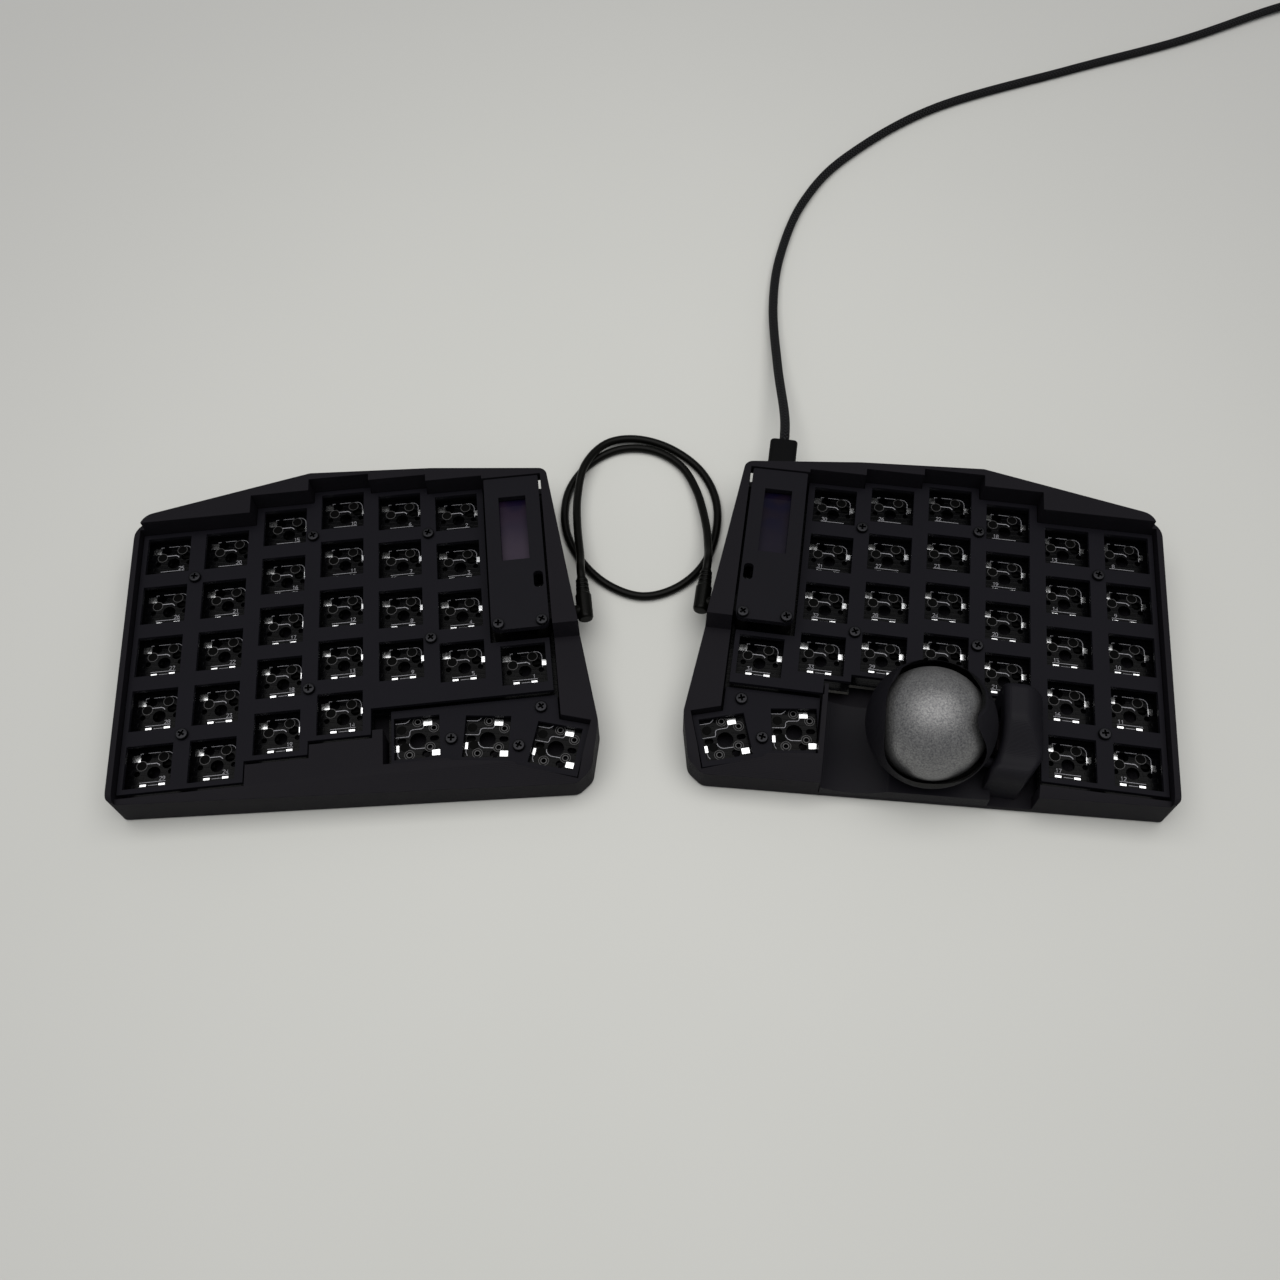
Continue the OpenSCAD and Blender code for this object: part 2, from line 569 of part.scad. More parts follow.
module usb_socket() translate([bay_mid, control_y1 + 1, usb_z]) rotate([90, 0, 0]) difference() {
    linear_extrude(7.4) polygon(rounded([[-4.5, -1.6, 1.2], [4.5, -1.6, 1.2], [4.5, 1.6, 1.2],
        [-4.5, 1.6, 1.2]], 4));
    translate([0, 0, -1]) linear_extrude(7.6)
        polygon(rounded([[-4.25, -1.35, 1], [4.25, -1.35, 1], [4.25, 1.35, 1], [-4.25, 1.35, 1]], 4));
}
module usb_sockets() color([0.7, 0.7, 0.72]) {
    place_left() usb_socket();
    place_right() usb_socket();
}

// Display module: board, glass and the socket strip that carries it
display_low = usb_z + 1.8;
display_t = 1;
glass_t = 1.4;
module display_board() translate([bay_mid - 6, display_y - 19, display_low]) cube([12, 38, display_t]);
module display_boards() color([0.1, 0.15, 0.3]) {
    place_left() display_board();
    place_right() display_board();
}
module display_glass() translate([bay_mid - 5.75, display_y - 14, display_low + display_t])
    cube([11.5, 30, glass_t]);
module display_glasses() color([0.25, 0.22, 0.3]) {
    place_left() display_glass();
    place_right() display_glass();
}
module display_socket() translate([bay_mid - 5.4, display_y - 18.9, board_top])
    cube([10.2, 2.5, display_low - board_top]);
module display_sockets() color([0.1, 0.1, 0.1]) {
    place_left() display_socket();
    place_right() display_socket();
}

// Reset switches: a small case with a sprung oval button under the slot in the cover
reset_body_h = 3.4;
module reset_switch() translate([reset_at.x, reset_at.y, board_top]) difference() {
    translate([-1.5, -3, 0]) cube([3, 6, reset_body_h]);
    translate([0, 0, 0.6]) linear_extrude(10) oval(1.95, 3.35);
}
module oval(w, l) {
    square([w, l - w], center = true);
    for (s = [-1, 1]) translate([0, s * (l - w) / 2]) circle(d = w);
}
module reset_button() translate([reset_at.x, reset_at.y, board_top + 1.2 + reset_travel])
    linear_extrude(3.2) oval(1.8, 3.2);
module left_reset_switch() color([0.1, 0.1, 0.1]) place_left() reset_switch();
module right_reset_switch() color([0.1, 0.1, 0.1]) place_right() reset_switch();
module left_reset_button() color([0.6, 0.6, 0.6]) place_left() reset_button();
module right_reset_button() color([0.6, 0.6, 0.6]) place_right() reset_button();

// Link jacks, with the bore that takes the plug's pin
pin_d = 3.5;
module jack() difference() {
    union() {
        translate([jack_x1 - jack_l, jack_y - jack_w / 2, board_top]) cube([jack_l, jack_w, jack_h]);
        translate([jack_x1 - 0.1, jack_y, jack_z]) rotate([0, 90, 0]) cylinder(d = 4.9, h = 1.5);
    }
    translate([jack_x1 - jack_l + 0.6, jack_y, jack_z]) rotate([0, 90, 0]) cylinder(d = pin_d + 0.2, h = 30);
}
module left_jack() color([0.1, 0.1, 0.1]) place_left() jack();
module right_jack() color([0.1, 0.1, 0.1]) place_right() jack();

// Rubber feet set in shallow pockets
module feet() color([0.1, 0.1, 0.1]) {
    place_left() drill(foot_places, foot_d, 0, foot_h + 0.6);
    place_right() drill(foot_places, foot_d, 0, foot_h + 0.6);
}

// Ball cup: scoop, spherical cup and its saddle mouth, cut from one block
mouth = [[0, 18], [4.5, 17.6], [8.6, 15.8], [11.4, 12.8], [13, 9.2], [13.4, 6], [13, 2.6], [13, -0.2],
    [14, -3],
    [15.1, -5.6], [15.5, -8.2], [14.7, -11], [12.6, -13.8], [9, -16.2], [5, -17.3], [0.4, -17.6], [-5, -16.9],
    [-9.4, -14.6], [-12.3, -11.4], [-13.2, -7.6], [-12.9, -3], [-12.6, 2], [-12.4, 6.6], [-11.6, 10.2],
        [-9.2, 13.6],
    [-5, 16.8]];
function bend(p, i, t) = let (k = len(p), a = p[(i + k - 1) % k], b = p[i], c = p[(i + 1) % k],
    d = p[(i + 2) % k])
    0.5 * (2 * b + (c - a) * t + (2 * a - 5 * b + 4 * c - d) * t * t + (3 * b - a - 3 * c + d) * t * t * t);
function smooth(p, n) = [for (i = [0 : len(p) - 1]) for (j = [0 : n - 1]) bend(p, i, j / n)];
mouth_scale = cup_in / 17.6;

module ball_cup() color([0.1, 0.095, 0.115]) place_right() difference() {
    intersection() {
        union() {
            difference() {
                translate([hood_x1 + 0.4, -120, floor_top])
                    cube([nest_x1 - 0.3 - hood_x1 - 0.4, 120 + near_edge(6, 4) - 4.2, 4.6]);
                translate([ball_at.x + 20.4, 0, floor_top + 2 + 24]) rotate([90, 0, 0])
                    cylinder(r = 24, h = 120, $fn = 128);
            }
            translate(ball_at) sphere(r = cup_out, $fn = 96);
            at_sensor(0) for (s = [-1, 1]) translate([0, s * 7, 0]) cylinder(d = 3, h = sensor_stand);
            at_supports(cup_in + 0.2) rotate([0, 90, 0]) cylinder(d = support_d + 2.6, h = support_d + 0.6);
        }
        translate([0, 0, floor_top]) linear_extrude(60) polygon(rounded(outline_points, 6));
        translate([-150, 0, 0]) rotate([90, 0, 90]) linear_extrude(300) polygon([[-120, -40], [60, -40],
            [60, ball_z + 2], [ball_at.y + cup_out, ball_z + 6], [ball_at.y + 10, ball_z + 11],
                [ball_at.y, ball_z + 14],
            [-120, ball_z + 40]]);
    }
    translate(ball_at) sphere(r = cup_in, $fn = 96);
    translate(ball_at) rotate([mouth_lean, 0, 0]) rotate([0, mouth_side, 0]) rotate([0, 0, mouth_roll])
        linear_extrude(40)
        polygon([for (p = smooth(mouth, 2)) [-p.x, p.y] * mouth_scale]);
    translate([ball_at.x, ball_at.y, floor_top - 1]) cylinder(r = 7, h = 4);
    at_sensor(-7) translate([-5, -5.2, 0]) cube([10, 10.4, 20]);
    at_supports(ball_r + support_d / 2 + 0.05) sphere(d = support_d + 0.1);
}

module ball() color([0.62, 0.62, 0.63]) place_right() translate(ball_at) sphere(r = ball_r, $fn = 96);

module at_supports(from) translate(ball_at) for (a = [90, 210, 330]) rotate([0, 52, a])
    translate([from, 0, 0])
    children();
module support_balls() color([0.85, 0.85, 0.83]) place_right() at_supports(ball_r + support_d / 2 + 0.05)
    sphere(d = support_d);

// Sensor hood beside the ball, hollow, open towards the cup
module hood_side(g) translate([0, 60, 0]) rotate([90, 0, 0]) linear_extrude(200) polygon(rounded([
    [hood_x0 + g, floor_top - g * 4, 0], [hood_x1 - g, floor_top - g * 4, 0],
        [hood_x1 - g, hood_top - g, 2.6 - g],
    [hood_x1 - 5.6, hood_top - g, 5.4 - g], [hood_x0 + g, plate_top + 2.2, 2]], 8));
module hood_length(g) translate([-150, 0, 0]) rotate([90, 0, 90]) linear_extrude(300) polygon(rounded([
    [hood_far - g, -40, 0], [hood_far - g, hood_top - g, 2.4 - g], [ball_at.y - 6, hood_top - g, 22 - g],
    [front_y - 4.4 + g * 1.6, plate_top - 5, 4 - g], [front_y - 4.4 + g * 1.6, -40, 0]], 12));
module sensor_hood() color([0.1, 0.095, 0.115]) place_right() difference() {
    intersection() {
        hood_side(0);
        hood_length(0);
        linear_extrude(60) polygon(rounded(outline_points, 6));
    }
    intersection() {
        hood_side(1.5);
        hood_length(1.5);
    }
    translate([hood_x1 - 4, ball_at.y - 9.5, floor_top - 1]) cube([8, 19, ball_z - floor_top - 1.4]);
}

// Optical sensor, tilted to look at the ball's side
module at_sensor(from) translate(ball_at) rotate([0, -90 - sensor_tilt, 0])
    translate([0, 0, ball_r + from]) children();
module sensor_lens() color([0.8, 0.82, 0.85]) place_right() at_sensor(2.4) translate([-4.5, -4.7, 0])
    cube([9, 9.4, sensor_stand - 2.4]);
module sensor_board() color([0.1, 0.3, 0.15]) place_right() at_sensor(sensor_stand) translate([-5, -9, 0])
    cube([10, 18, 1.6]);
module sensor_chip() color([0.08, 0.08, 0.08]) place_right() at_sensor(sensor_stand + 1.6)
    translate([-4.2, -7, 0]) cube([8.4, 14, 2.2]);

// Link plugs: turned right-angle body with a ribbed strain relief, and the pin in the jack
plug_d = 5.2;
plug_x = jack_x1 + 2.2 + plug_d / 2;
relief_end = 12.6;
module link_plug() translate([plug_x, jack_y, jack_z]) {
    rotate([-90, 0, 0]) rotate_extrude() polygon(concat([[0, -3.2], [plug_d / 2 - 1, -3.2],
        [plug_d / 2 - 0.3, -2.9],
        [plug_d / 2, -2.2], [plug_d / 2, 5.8], [plug_d / 2 - 0.4, 6.4]],
        [for (i = [0 : 3]) for (s = [[0, 0.15], [0.75, 0.15], [0.75, -0.25], [1.45, -0.25]])
            [2.1 - i * 0.08 + s[1], 6.4 + i * 1.5 + s[0]]], [[1.6, relief_end], [0, relief_end]]));
    translate([-plug_d / 2 - 13.4, 0, 0]) rotate([0, 90, 0]) cylinder(d = pin_d, h = plug_d / 2 + 13.4);
    translate([-plug_d / 2 - 0.8, 0, 0]) rotate([0, 90, 0]) cylinder(d = 4.4, h = plug_d / 2 + 0.8);
}
module left_link_plug() color([0.06, 0.06, 0.06]) place_left() link_plug();
module right_link_plug() color([0.06, 0.06, 0.06]) place_right() link_plug();

// USB plug in the right half's socket
usb_face = control_y1 + 1;
usb_back = usb_face + 17.8;
module usb_plug() color([0.14, 0.14, 0.14]) place_right() {
    translate([bay_mid, usb_back, usb_z]) rotate([90, 0, 0]) linear_extrude(usb_back - usb_face)
        polygon(rounded([
        [-4.7, -3, 1.6], [4.7, -3, 1.6], [4.7, 3, 1.6], [-4.7, 3, 1.6]], 5));
    translate([bay_mid, usb_face + 0.1, usb_z]) rotate([90, 0, 0]) linear_extrude(6.6) polygon(rounded([
        [-4.1, -1.2, 0.9], [4.1, -1.2, 0.9], [4.1, 1.2, 0.9], [-4.1, 1.2, 0.9]], 4));
}

// Cords: a round tube swept along smoothed route points
function along(p, i, t) = let (k = len(p), b = p[i], c = p[i + 1], a = i > 0 ? p[i - 1] : 2 * b - c,
    d = i + 2 < k ? p[i + 2] : 2 * c - b)
    0.5 * (2 * b + (c - a) * t + (2 * a - 5 * b + 4 * c - d) * t * t + (3 * b - a - 3 * c + d) * t * t * t);
function route(p, n) = concat([for (i = [0 : len(p) - 2]) for (j = [0 : n - 1]) along(p, i, j / n)],
    [p[len(p) - 1]]);
function ring(m, f, r, n) = let (s = unit(cross(f, [0, 0, 1])), u = cross(s, f))
    [for (j = [0 : n - 1]) m + r * (s * cos(360 * j / n) + u * sin(360 * j / n))];
function heading(p, i) = unit(i == 0 ? p[1] - p[0] : i == len(p) - 1 ? p[i] - p[i - 1] : p[i + 1] - p[i - 1]);
module tube(p, r, n) {
    k = len(p);
    polyhedron(points = [for (i = [0 : k - 1]) each ring(p[i], heading(p, i), r, n)],
        faces = concat([[for (j = [n - 1 : -1 : 0]) j]],
            [for (i = [0 : k - 2]) for (j = [0 : n - 1]) each let (a = i * n + j, b = i * n + (j + 1) % n)
                [[a, b, b + n], [a, b + n, a + n]]],
            [[for (j = [0 : n - 1]) (k - 1) * n + j]]));
}
function centred(p) = [for (q = p) q - [mid_x, mid_y, 0]];
link_z = link_d / 2;
// Route points lie on the photographed cord, measured with the X axis through the middle keys
link_lay = [[-21, 22, 8.2], [-22.5, 36, 5.8], [-22.8, 49, 4.9], [-20.6, 62.5, 4.8], [-13.5, 73, 3.3],
    [-3, 76.3, 1.8], [9, 72.4, 1.5], [19.5, 63, link_z], [24.9, 50.5, link_z], [24.9, 36.5, link_z],
    [20.2, 22.8, link_z], [11, 13.6, link_z], [-0.5, 10.3, link_z], [-12, 14.9, link_z],
    [-21.3, 24.8, link_z], [-26.8, 38, link_z], [-26.4, 53, link_z], [-19.6, 65, link_z],
    [-9, 71.8, link_z], [3, 71.4, 1.5],
    [13, 64.3, 1.7], [18.5, 52.5, 2.4], [21.2, 37, 4.7], [21.6, 25.5, 7.6]];
link_route = concat([left_at([plug_x, jack_y + relief_end, jack_z]),
    left_at([plug_x, jack_y + relief_end + 4, jack_z])],
    centred(link_lay),
    [right_at([plug_x, jack_y + relief_end + 4, jack_z]), right_at([plug_x, jack_y + relief_end, jack_z])]);
module link_cord() color([0.05, 0.05, 0.05]) tube(route(link_route, 2), link_d / 2, 8);

usb_low = usb_d / 2;
coil_low = usb_d / 2 + 1.2;
coil_at = centred([[346, 354, 0]])[0];
coil_pitch = usb_d + coil_gap;
coil_out = coil_d / 2 + coil_turns * coil_pitch / 2;
usb_entry = [coil_at.x - 30, coil_at.y - coil_out, coil_low];
usb_lay = [[49.8, 80, 11], [49.2, 107, 6], [49.6, 140, 2.5], [54, 168, 1.8], [65, 198, 1.75],
    [85, 225, usb_low], [125, 255, usb_low], [186, 279, usb_low], [238, 298, 1.8], [284, 319, 2.3]];
usb_route = concat([right_at([bay_mid, usb_back, usb_z]), right_at([bay_mid, usb_back + 4, usb_z])],
    centred(usb_lay),
    [usb_entry - [4, 0, 0], usb_entry]);
module usb_cord() color([0.08, 0.08, 0.08]) tube(route(usb_route, 2), usb_d / 2, 8);

// Put-away coil: two layers that spiral in and out again, one unbroken tube
coil_steps = 24;
coil_rise = usb_d + coil_gap;
coil_half = coil_turns * coil_steps;
function coil_point(i) = let (up = i > coil_half + coil_steps / 2, climb = i > coil_half,
    a = -90 + 360 * i / coil_steps, in = min(i, coil_half) / coil_steps,
    out = up ? (i - coil_half - coil_steps / 2) / coil_steps : 0,
    r = coil_out - (in - out) * coil_pitch,
    z = coil_low + (climb ? coil_rise * min(1, (i - coil_half) / (coil_steps / 2)) : 0))
    [coil_at.x + r * cos(a), coil_at.y + r * sin(a), z];
coil_count = 2 * coil_half + coil_steps / 2;
coil_points = concat([usb_entry, usb_entry + [usb_d, 0, 0], usb_entry + [18, 0, 0]],
    [for (i = [1 : coil_count]) coil_point(i)]);
coil_last = coil_point(coil_count);
far_z = 3.6;
coil_tail = concat(coil_points, [coil_last + [-8, 0, 0], coil_last + [-16, 0.5, -1.4],
    [coil_last.x - 26, coil_last.y + 1, far_z], [coil_last.x - 26 - usb_d * 1.5, coil_last.y + 1, far_z]]);
coil_end = coil_tail[len(coil_tail) - 1];
coil_near = min([for (i = [0 : len(coil_tail) - 1]) for (j = [i + 4 : 1 : len(coil_tail) - 1])
    norm(coil_tail[i] - coil_tail[j])]) - usb_d;
echo(coil_least_gap = coil_near);
module usb_coil() color([0.08, 0.08, 0.08]) tube(coil_tail, usb_d / 2, 6);

// Tie round the coil's far side, and the free plug beside the coil
tie_in = [coil_turns * coil_pitch + usb_d + 1.4, coil_rise + usb_d + 0.6];
module usb_tie() color([0.06, 0.06, 0.06]) translate([coil_at.x + coil_d / 2 + 0.2, coil_at.y, 0])
    rotate([90, 0, 0])
    difference() {
        translate([0, 0.05, -4]) linear_extrude(8) polygon(rounded([[-tie_in.x / 2 - 0.9, 0, 1.6],
            [tie_in.x / 2 + 0.9, 0, 1.6], [tie_in.x / 2 + 0.9, tie_in.y + 1.8, 1.6],
            [-tie_in.x / 2 - 0.9, tie_in.y + 1.8, 1.6]], 4));
        translate([0, 0.95, -5]) linear_extrude(10) polygon(rounded([[-tie_in.x / 2, 0, 0.8],
            [tie_in.x / 2, 0, 0.8], [tie_in.x / 2, tie_in.y, 0.8], [-tie_in.x / 2, tie_in.y, 0.8]], 4));
    }
module usb_far_plug() color([0.14, 0.14, 0.14]) translate(coil_end) rotate([0, -90, 0]) {
    linear_extrude(20) polygon(rounded([[-3.4, -5.2, 1.6], [3.4, -5.2, 1.6], [3.4, 5.2, 1.6],
        [-3.4, 5.2, 1.6]], 5));
    translate([0, 0, 19.9]) linear_extrude(7) polygon(rounded([[-1.2, -4.1, 0.9], [1.2, -4.1, 0.9],
        [1.2, 4.1, 0.9],
        [-1.2, 4.1, 0.9]], 4));
}

left_tray();
right_tray();
left_plate();
right_plate();
left_thumb_plate();
right_thumb_plate();
left_pcb();
right_pcb();
left_cover();
right_cover();
left_controller();
right_controller();
display_boards();
display_glasses();
display_sockets();
pin_headers();
usb_sockets();
key_sockets();
diodes();
plate_spacers();
plate_screws();
thumb_screws();
cover_spacers();
cover_screws();
left_reset_switch();
right_reset_switch();
left_reset_button();
right_reset_button();
left_jack();
right_jack();
feet();
ball_cup();
sensor_hood();
ball();
support_balls();
sensor_board();
sensor_chip();
sensor_lens();
left_link_plug();
right_link_plug();
link_cord();
usb_plug();
usb_cord();
usb_coil();
usb_tie();
usb_far_plug();
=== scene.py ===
"""Looks of the split keyboard with a trackball: two printed halves, boards in open wells, two cords."""

import math

import bmesh
import bpy
from mathutils import Matrix, Vector


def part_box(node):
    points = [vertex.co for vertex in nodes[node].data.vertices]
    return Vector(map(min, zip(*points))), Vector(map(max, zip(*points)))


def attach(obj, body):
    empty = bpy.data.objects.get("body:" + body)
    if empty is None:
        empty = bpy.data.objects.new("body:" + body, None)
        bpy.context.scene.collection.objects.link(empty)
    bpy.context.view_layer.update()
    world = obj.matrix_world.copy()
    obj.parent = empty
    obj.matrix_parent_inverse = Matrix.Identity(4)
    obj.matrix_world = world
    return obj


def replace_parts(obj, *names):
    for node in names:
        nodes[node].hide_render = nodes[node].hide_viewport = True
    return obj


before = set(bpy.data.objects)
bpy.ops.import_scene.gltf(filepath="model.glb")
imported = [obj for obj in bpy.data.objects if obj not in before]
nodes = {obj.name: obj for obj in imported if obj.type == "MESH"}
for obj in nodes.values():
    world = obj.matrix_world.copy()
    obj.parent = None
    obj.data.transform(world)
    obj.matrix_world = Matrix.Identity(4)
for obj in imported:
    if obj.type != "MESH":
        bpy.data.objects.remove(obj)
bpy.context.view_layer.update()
MM = 0.001


# Camera: a hand-held photograph taken from the front, looking down at the desk at about sixty degrees.
# The place and turn were fitted to the corners of the key wells.
SENSOR_WIDTH, FOCAL_PIXELS, PICTURE_PIXELS = 36, 1235.7, 1280
camera_at = Vector((4.025, -196.367, 351.63)) * MM
camera_right = Vector((0.99988, 0.00155, -0.01543))
camera_down = Vector((-0.00627, -0.86955, -0.49381))
camera_ahead = Vector((-0.01418, 0.49384, -0.86944))
camera = bpy.data.objects.new("camera", bpy.data.cameras.new("camera"))
bpy.context.scene.collection.objects.link(camera)
camera.matrix_world = Matrix.Translation(camera_at) @ Matrix(
    (camera_right, -camera_down, -camera_ahead)).transposed().to_4x4()
camera.data.sensor_width = SENSOR_WIDTH
camera.data.lens = SENSOR_WIDTH * FOCAL_PIXELS / PICTURE_PIXELS
camera.data.clip_start = 0.01
camera.data.clip_end = 20
bpy.context.scene.camera = camera


# Desk and room light: a pale matt desk, one broad soft lamp overhead and a dim even room.
# Flat pads near the user mirror the lamp, and those in the rear rows mirror the dim room behind it.
class Socket:
    """One output of a material's node, with the arithmetic that the finishes use."""

    def __init__(self, paint, output):
        self.paint = paint
        self.output = output

    def maths(self, operation, *others):
        values = dict(enumerate((self,) + others))
        return self.paint.node("ShaderNodeMath", {"operation": operation}, values)

    def __add__(self, other):
        return self.maths("ADD", other)

    def __sub__(self, other):
        return self.maths("SUBTRACT", other)

    def __mul__(self, other):
        return self.maths("MULTIPLY", other)

    def __truediv__(self, other):
        return self.maths("DIVIDE", other)

    def __rsub__(self, other):
        return (self * -1.0).maths("ADD", other)

    def above(self, edge, soft):
        """0 below edge - soft and 1 above edge + soft."""
        return self.paint.node("ShaderNodeMapRange", {"interpolation_type": "SMOOTHSTEP"},
                               {"Value": self, "From Min": edge - soft, "From Max": edge + soft})


class Paint:
    """A procedural material: node() adds any node, its settings first and then its sockets."""

    def __init__(self, name, rough, specular=0.5, **constants):
        self.material = bpy.data.materials.new(name)
        self.material.use_nodes = True
        self.tree = self.material.node_tree
        self.shader = self.tree.nodes["Principled BSDF"]
        self.shader.inputs["Roughness"].default_value = rough
        self.shader.inputs["Specular IOR Level"].default_value = specular
        for socket, value in constants.items():
            self.shader.inputs[socket.replace("_", " ")].default_value = value

    def node(self, kind, settings=None, sockets=None, out=0):
        made = self.tree.nodes.new(kind)
        for key, value in (settings or {}).items():
            setattr(made, key, value)
        for key, value in (sockets or {}).items():
            if isinstance(value, Socket):
                self.tree.links.new(value.output, made.inputs[key])
            else:
                made.inputs[key].default_value = value
        return Socket(self, made.outputs[out])

    def place(self, size=1.0, turn=(0, 0, 0)):
        """Object coordinates in millimetres, turned and then multiplied by size."""
        scale = Vector((size / MM,) * 3) if isinstance(size, (int, float)) else Vector(size) / MM
        return self.node("ShaderNodeMapping", {}, {
            "Vector": self.node("ShaderNodeTexCoord", out="Object"), "Scale": scale, "Rotation": turn})

    def noise(self, vector, scale, detail=2.0, rough=0.5):
        return self.node("ShaderNodeTexNoise", {}, {"Vector": vector, "Scale": scale, "Detail": detail,
                                                    "Roughness": rough})

    def mix(self, share, first, second):
        """A colour between two, each a socket or a linear colour."""
        colours = [c if isinstance(c, Socket) else (*c, 1) for c in (first, second)]
        return self.node("ShaderNodeMix", {"data_type": "RGBA"},
                         {0: share, 6: colours[0], 7: colours[1]}, out=2)

    def bump(self, height, distance):
        """distance in millimetres of relief for a height of 1."""
        return self.node("ShaderNodeBump", {}, {"Height": height, "Distance": distance * MM})

    def into(self, **sockets):
        for key, value in sockets.items():
            self.tree.links.new(value.output, self.shader.inputs[key.replace("_", " ")])
        return self.material


def linear(red, green, blue):
    """A written screen colour as the linear colour that a shader takes."""
    return tuple(c / 3294.6 if c <= 10 else ((c / 255 + 0.055) / 1.055) ** 2.4 for c in (red, green, blue))


DESK_GAP = 0.02
desk_paint = Paint("desk_matt", 0.75, 0.2)
desk_cloud = desk_paint.noise(desk_paint.place(0.006), 1.0, 3)
# Painted falloff of light: the desk is painted darker away from the keyboard.
desk_painted_falloff = desk_paint.node("ShaderNodeVectorMath", {"operation": "LENGTH"}, {
    0: desk_paint.place((0.0032, 0.0026, 1))}, out="Value").above(0.75, 0.6)
desk_near = desk_paint.mix(desk_cloud, linear(201, 202, 198), linear(207, 207, 204))
desk_paint.into(Base_Color=desk_paint.mix(desk_painted_falloff, desk_near, linear(186, 186, 184)))
desk_mesh = bmesh.new()
bmesh.ops.create_grid(desk_mesh, x_segments=1, y_segments=1, size=6)
desk_data = bpy.data.meshes.new("desk")
desk_mesh.to_mesh(desk_data)
desk_data.materials.append(desk_paint.material)
desk = bpy.data.objects.new("desk", desk_data)
bpy.context.scene.collection.objects.link(desk)
desk.location.z = -DESK_GAP * MM

room = bpy.data.worlds.new("room")
room.use_nodes = True
room.node_tree.nodes["Background"].inputs["Color"].default_value = (0.96, 0.98, 1.0, 1)
room.node_tree.nodes["Background"].inputs["Strength"].default_value = 0.3
bpy.context.scene.world = room

lamp_data = bpy.data.lights.new("ceiling_lamp", "AREA")
lamp_data.shape = "RECTANGLE"
lamp_data.size = 2.2
lamp_data.size_y = 1.6
lamp_data.energy = 23
lamp_data.color = (1.0, 0.985, 0.955)
lamp = bpy.data.objects.new("ceiling_lamp", lamp_data)
bpy.context.scene.collection.objects.link(lamp)
lamp.location = (0, 0.02, 1.45)

bpy.context.scene.view_settings.view_transform = "Standard"


# Case trays: one printed tub for each half, charcoal plastic with faint layers and softened edges.
# The board, plates and covers lie in it; the front is a low sloping bezel and the rear a high wall.
LAYER_HEIGHT, RASTER_WIDTH = 0.2, 0.6
EASED_ANGLE, EASED_SEGMENTS = 28, 2


def part_of(paint, vector, axis):
    """One coordinate of a vector."""
    return paint.node("ShaderNodeSeparateXYZ", {}, {"Vector": vector}, out=axis)


def printed_finish(name, dark, light, rough, specular, grain, painted_shade_sphere=None):
    """Matt plastic: layers on slopes, raster lines and grain on flat faces, and painted shade inside a
    sphere.

    The sphere is a middle and a radius; inside it the colour is painted near black as painted shade.
    """
    paint = Paint(name, rough, specular)
    at = paint.place()
    layer = (part_of(paint, at, 2) * (2 * math.pi / LAYER_HEIGHT)).maths("SINE")
    diagonal = part_of(paint, at, 0) + part_of(paint, at, 1)
    raster = (diagonal * (2 * math.pi / RASTER_WIDTH)).maths("SINE")
    upward = part_of(paint, paint.node("ShaderNodeTexCoord", out="Normal"), 2)
    flat = upward.maths("ABSOLUTE").above(0.93, 0.04)
    sand = paint.noise(at, 1.5, 4, 0.65)
    cloud = paint.noise(at, 0.06, 3, 0.55)
    height = sand * grain + layer * (1 - flat) * 0.5 + raster * flat * 0.12
    shade = cloud * 0.5 + sand * 0.35 + layer * (1 - flat) * 0.08
    colour = paint.mix(shade, dark, light)
    if painted_shade_sphere:
        middle, radius = painted_shade_sphere
        reach = paint.node("ShaderNodeVectorMath", {"operation": "DISTANCE"}, {0: at, 1: middle / MM},
                           out="Value")
        # Painted shade: near black inside the sphere, where the gap round the ball lies dark.
        colour = paint.mix(reach.above(radius, 0.2), linear(1, 1, 1), colour)
    return paint.into(
        Base_Color=colour,
        Roughness=sand * 0.16 + (rough - 0.08),
        Normal=paint.bump(height, 0.05))


def piece(shape, name, material, body="keyboard", corner=50):
    """Makes a bmesh an object that rides on a CAD body, smooth but for corners sharper than corner."""
    mesh = bpy.data.meshes.new(name)
    shape.to_mesh(mesh)
    shape.free()
    mesh.polygons.foreach_set("use_smooth", [True] * len(mesh.polygons))
    mesh.set_sharp_from_angle(angle=math.radians(corner))
    mesh.materials.append(material)
    made = bpy.data.objects.new(name, mesh)
    bpy.context.scene.collection.objects.link(made)
    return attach(made, body)


def merged(name):
    """A copy of a CAD node's mesh with its triangles joined and its flat faces whole."""
    shape = bmesh.new()
    shape.from_mesh(nodes[name].data)
    bmesh.ops.remove_doubles(shape, verts=shape.verts, dist=0.001 * MM)
    bmesh.ops.dissolve_limit(shape, angle_limit=math.radians(0.4), verts=shape.verts, edges=shape.edges)
    return shape


def eased(name, width, material, prepare=None):
    """A copy of a CAD node that stands for it, prepared if need be, with its sharp edges rounded."""
    shape = merged(name)
    if prepare:
        prepare(shape)
    sharp = [e for e in shape.edges if e.is_manifold and e.calc_face_angle() > math.radians(EASED_ANGLE)]
    bmesh.ops.bevel(shape, geom=sharp, offset=width * MM, offset_type="OFFSET", segments=EASED_SEGMENTS,
                    profile=0.5, affect="EDGES", clamp_overlap=True, loop_slide=True, material=-1)
    made = piece(shape, name + "_eased", material)
    made.modifiers.new("flat_faces", "WEIGHTED_NORMAL").keep_sharp = True
    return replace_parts(made, name)


def dress(material, slot, *names):
    """The named CAD nodes keep their shape and take this finish."""
    for name in names:
        mesh = nodes[name].data
        mesh.materials.clear()
        mesh.materials.append(material)


case_finish = printed_finish("case_print", linear(19, 18, 22), linear(25, 23, 28), 0.55, 0.07, 0.5)
for tray in ("left_tray", "right_tray"):
    eased(tray, 0.35, case_finish)


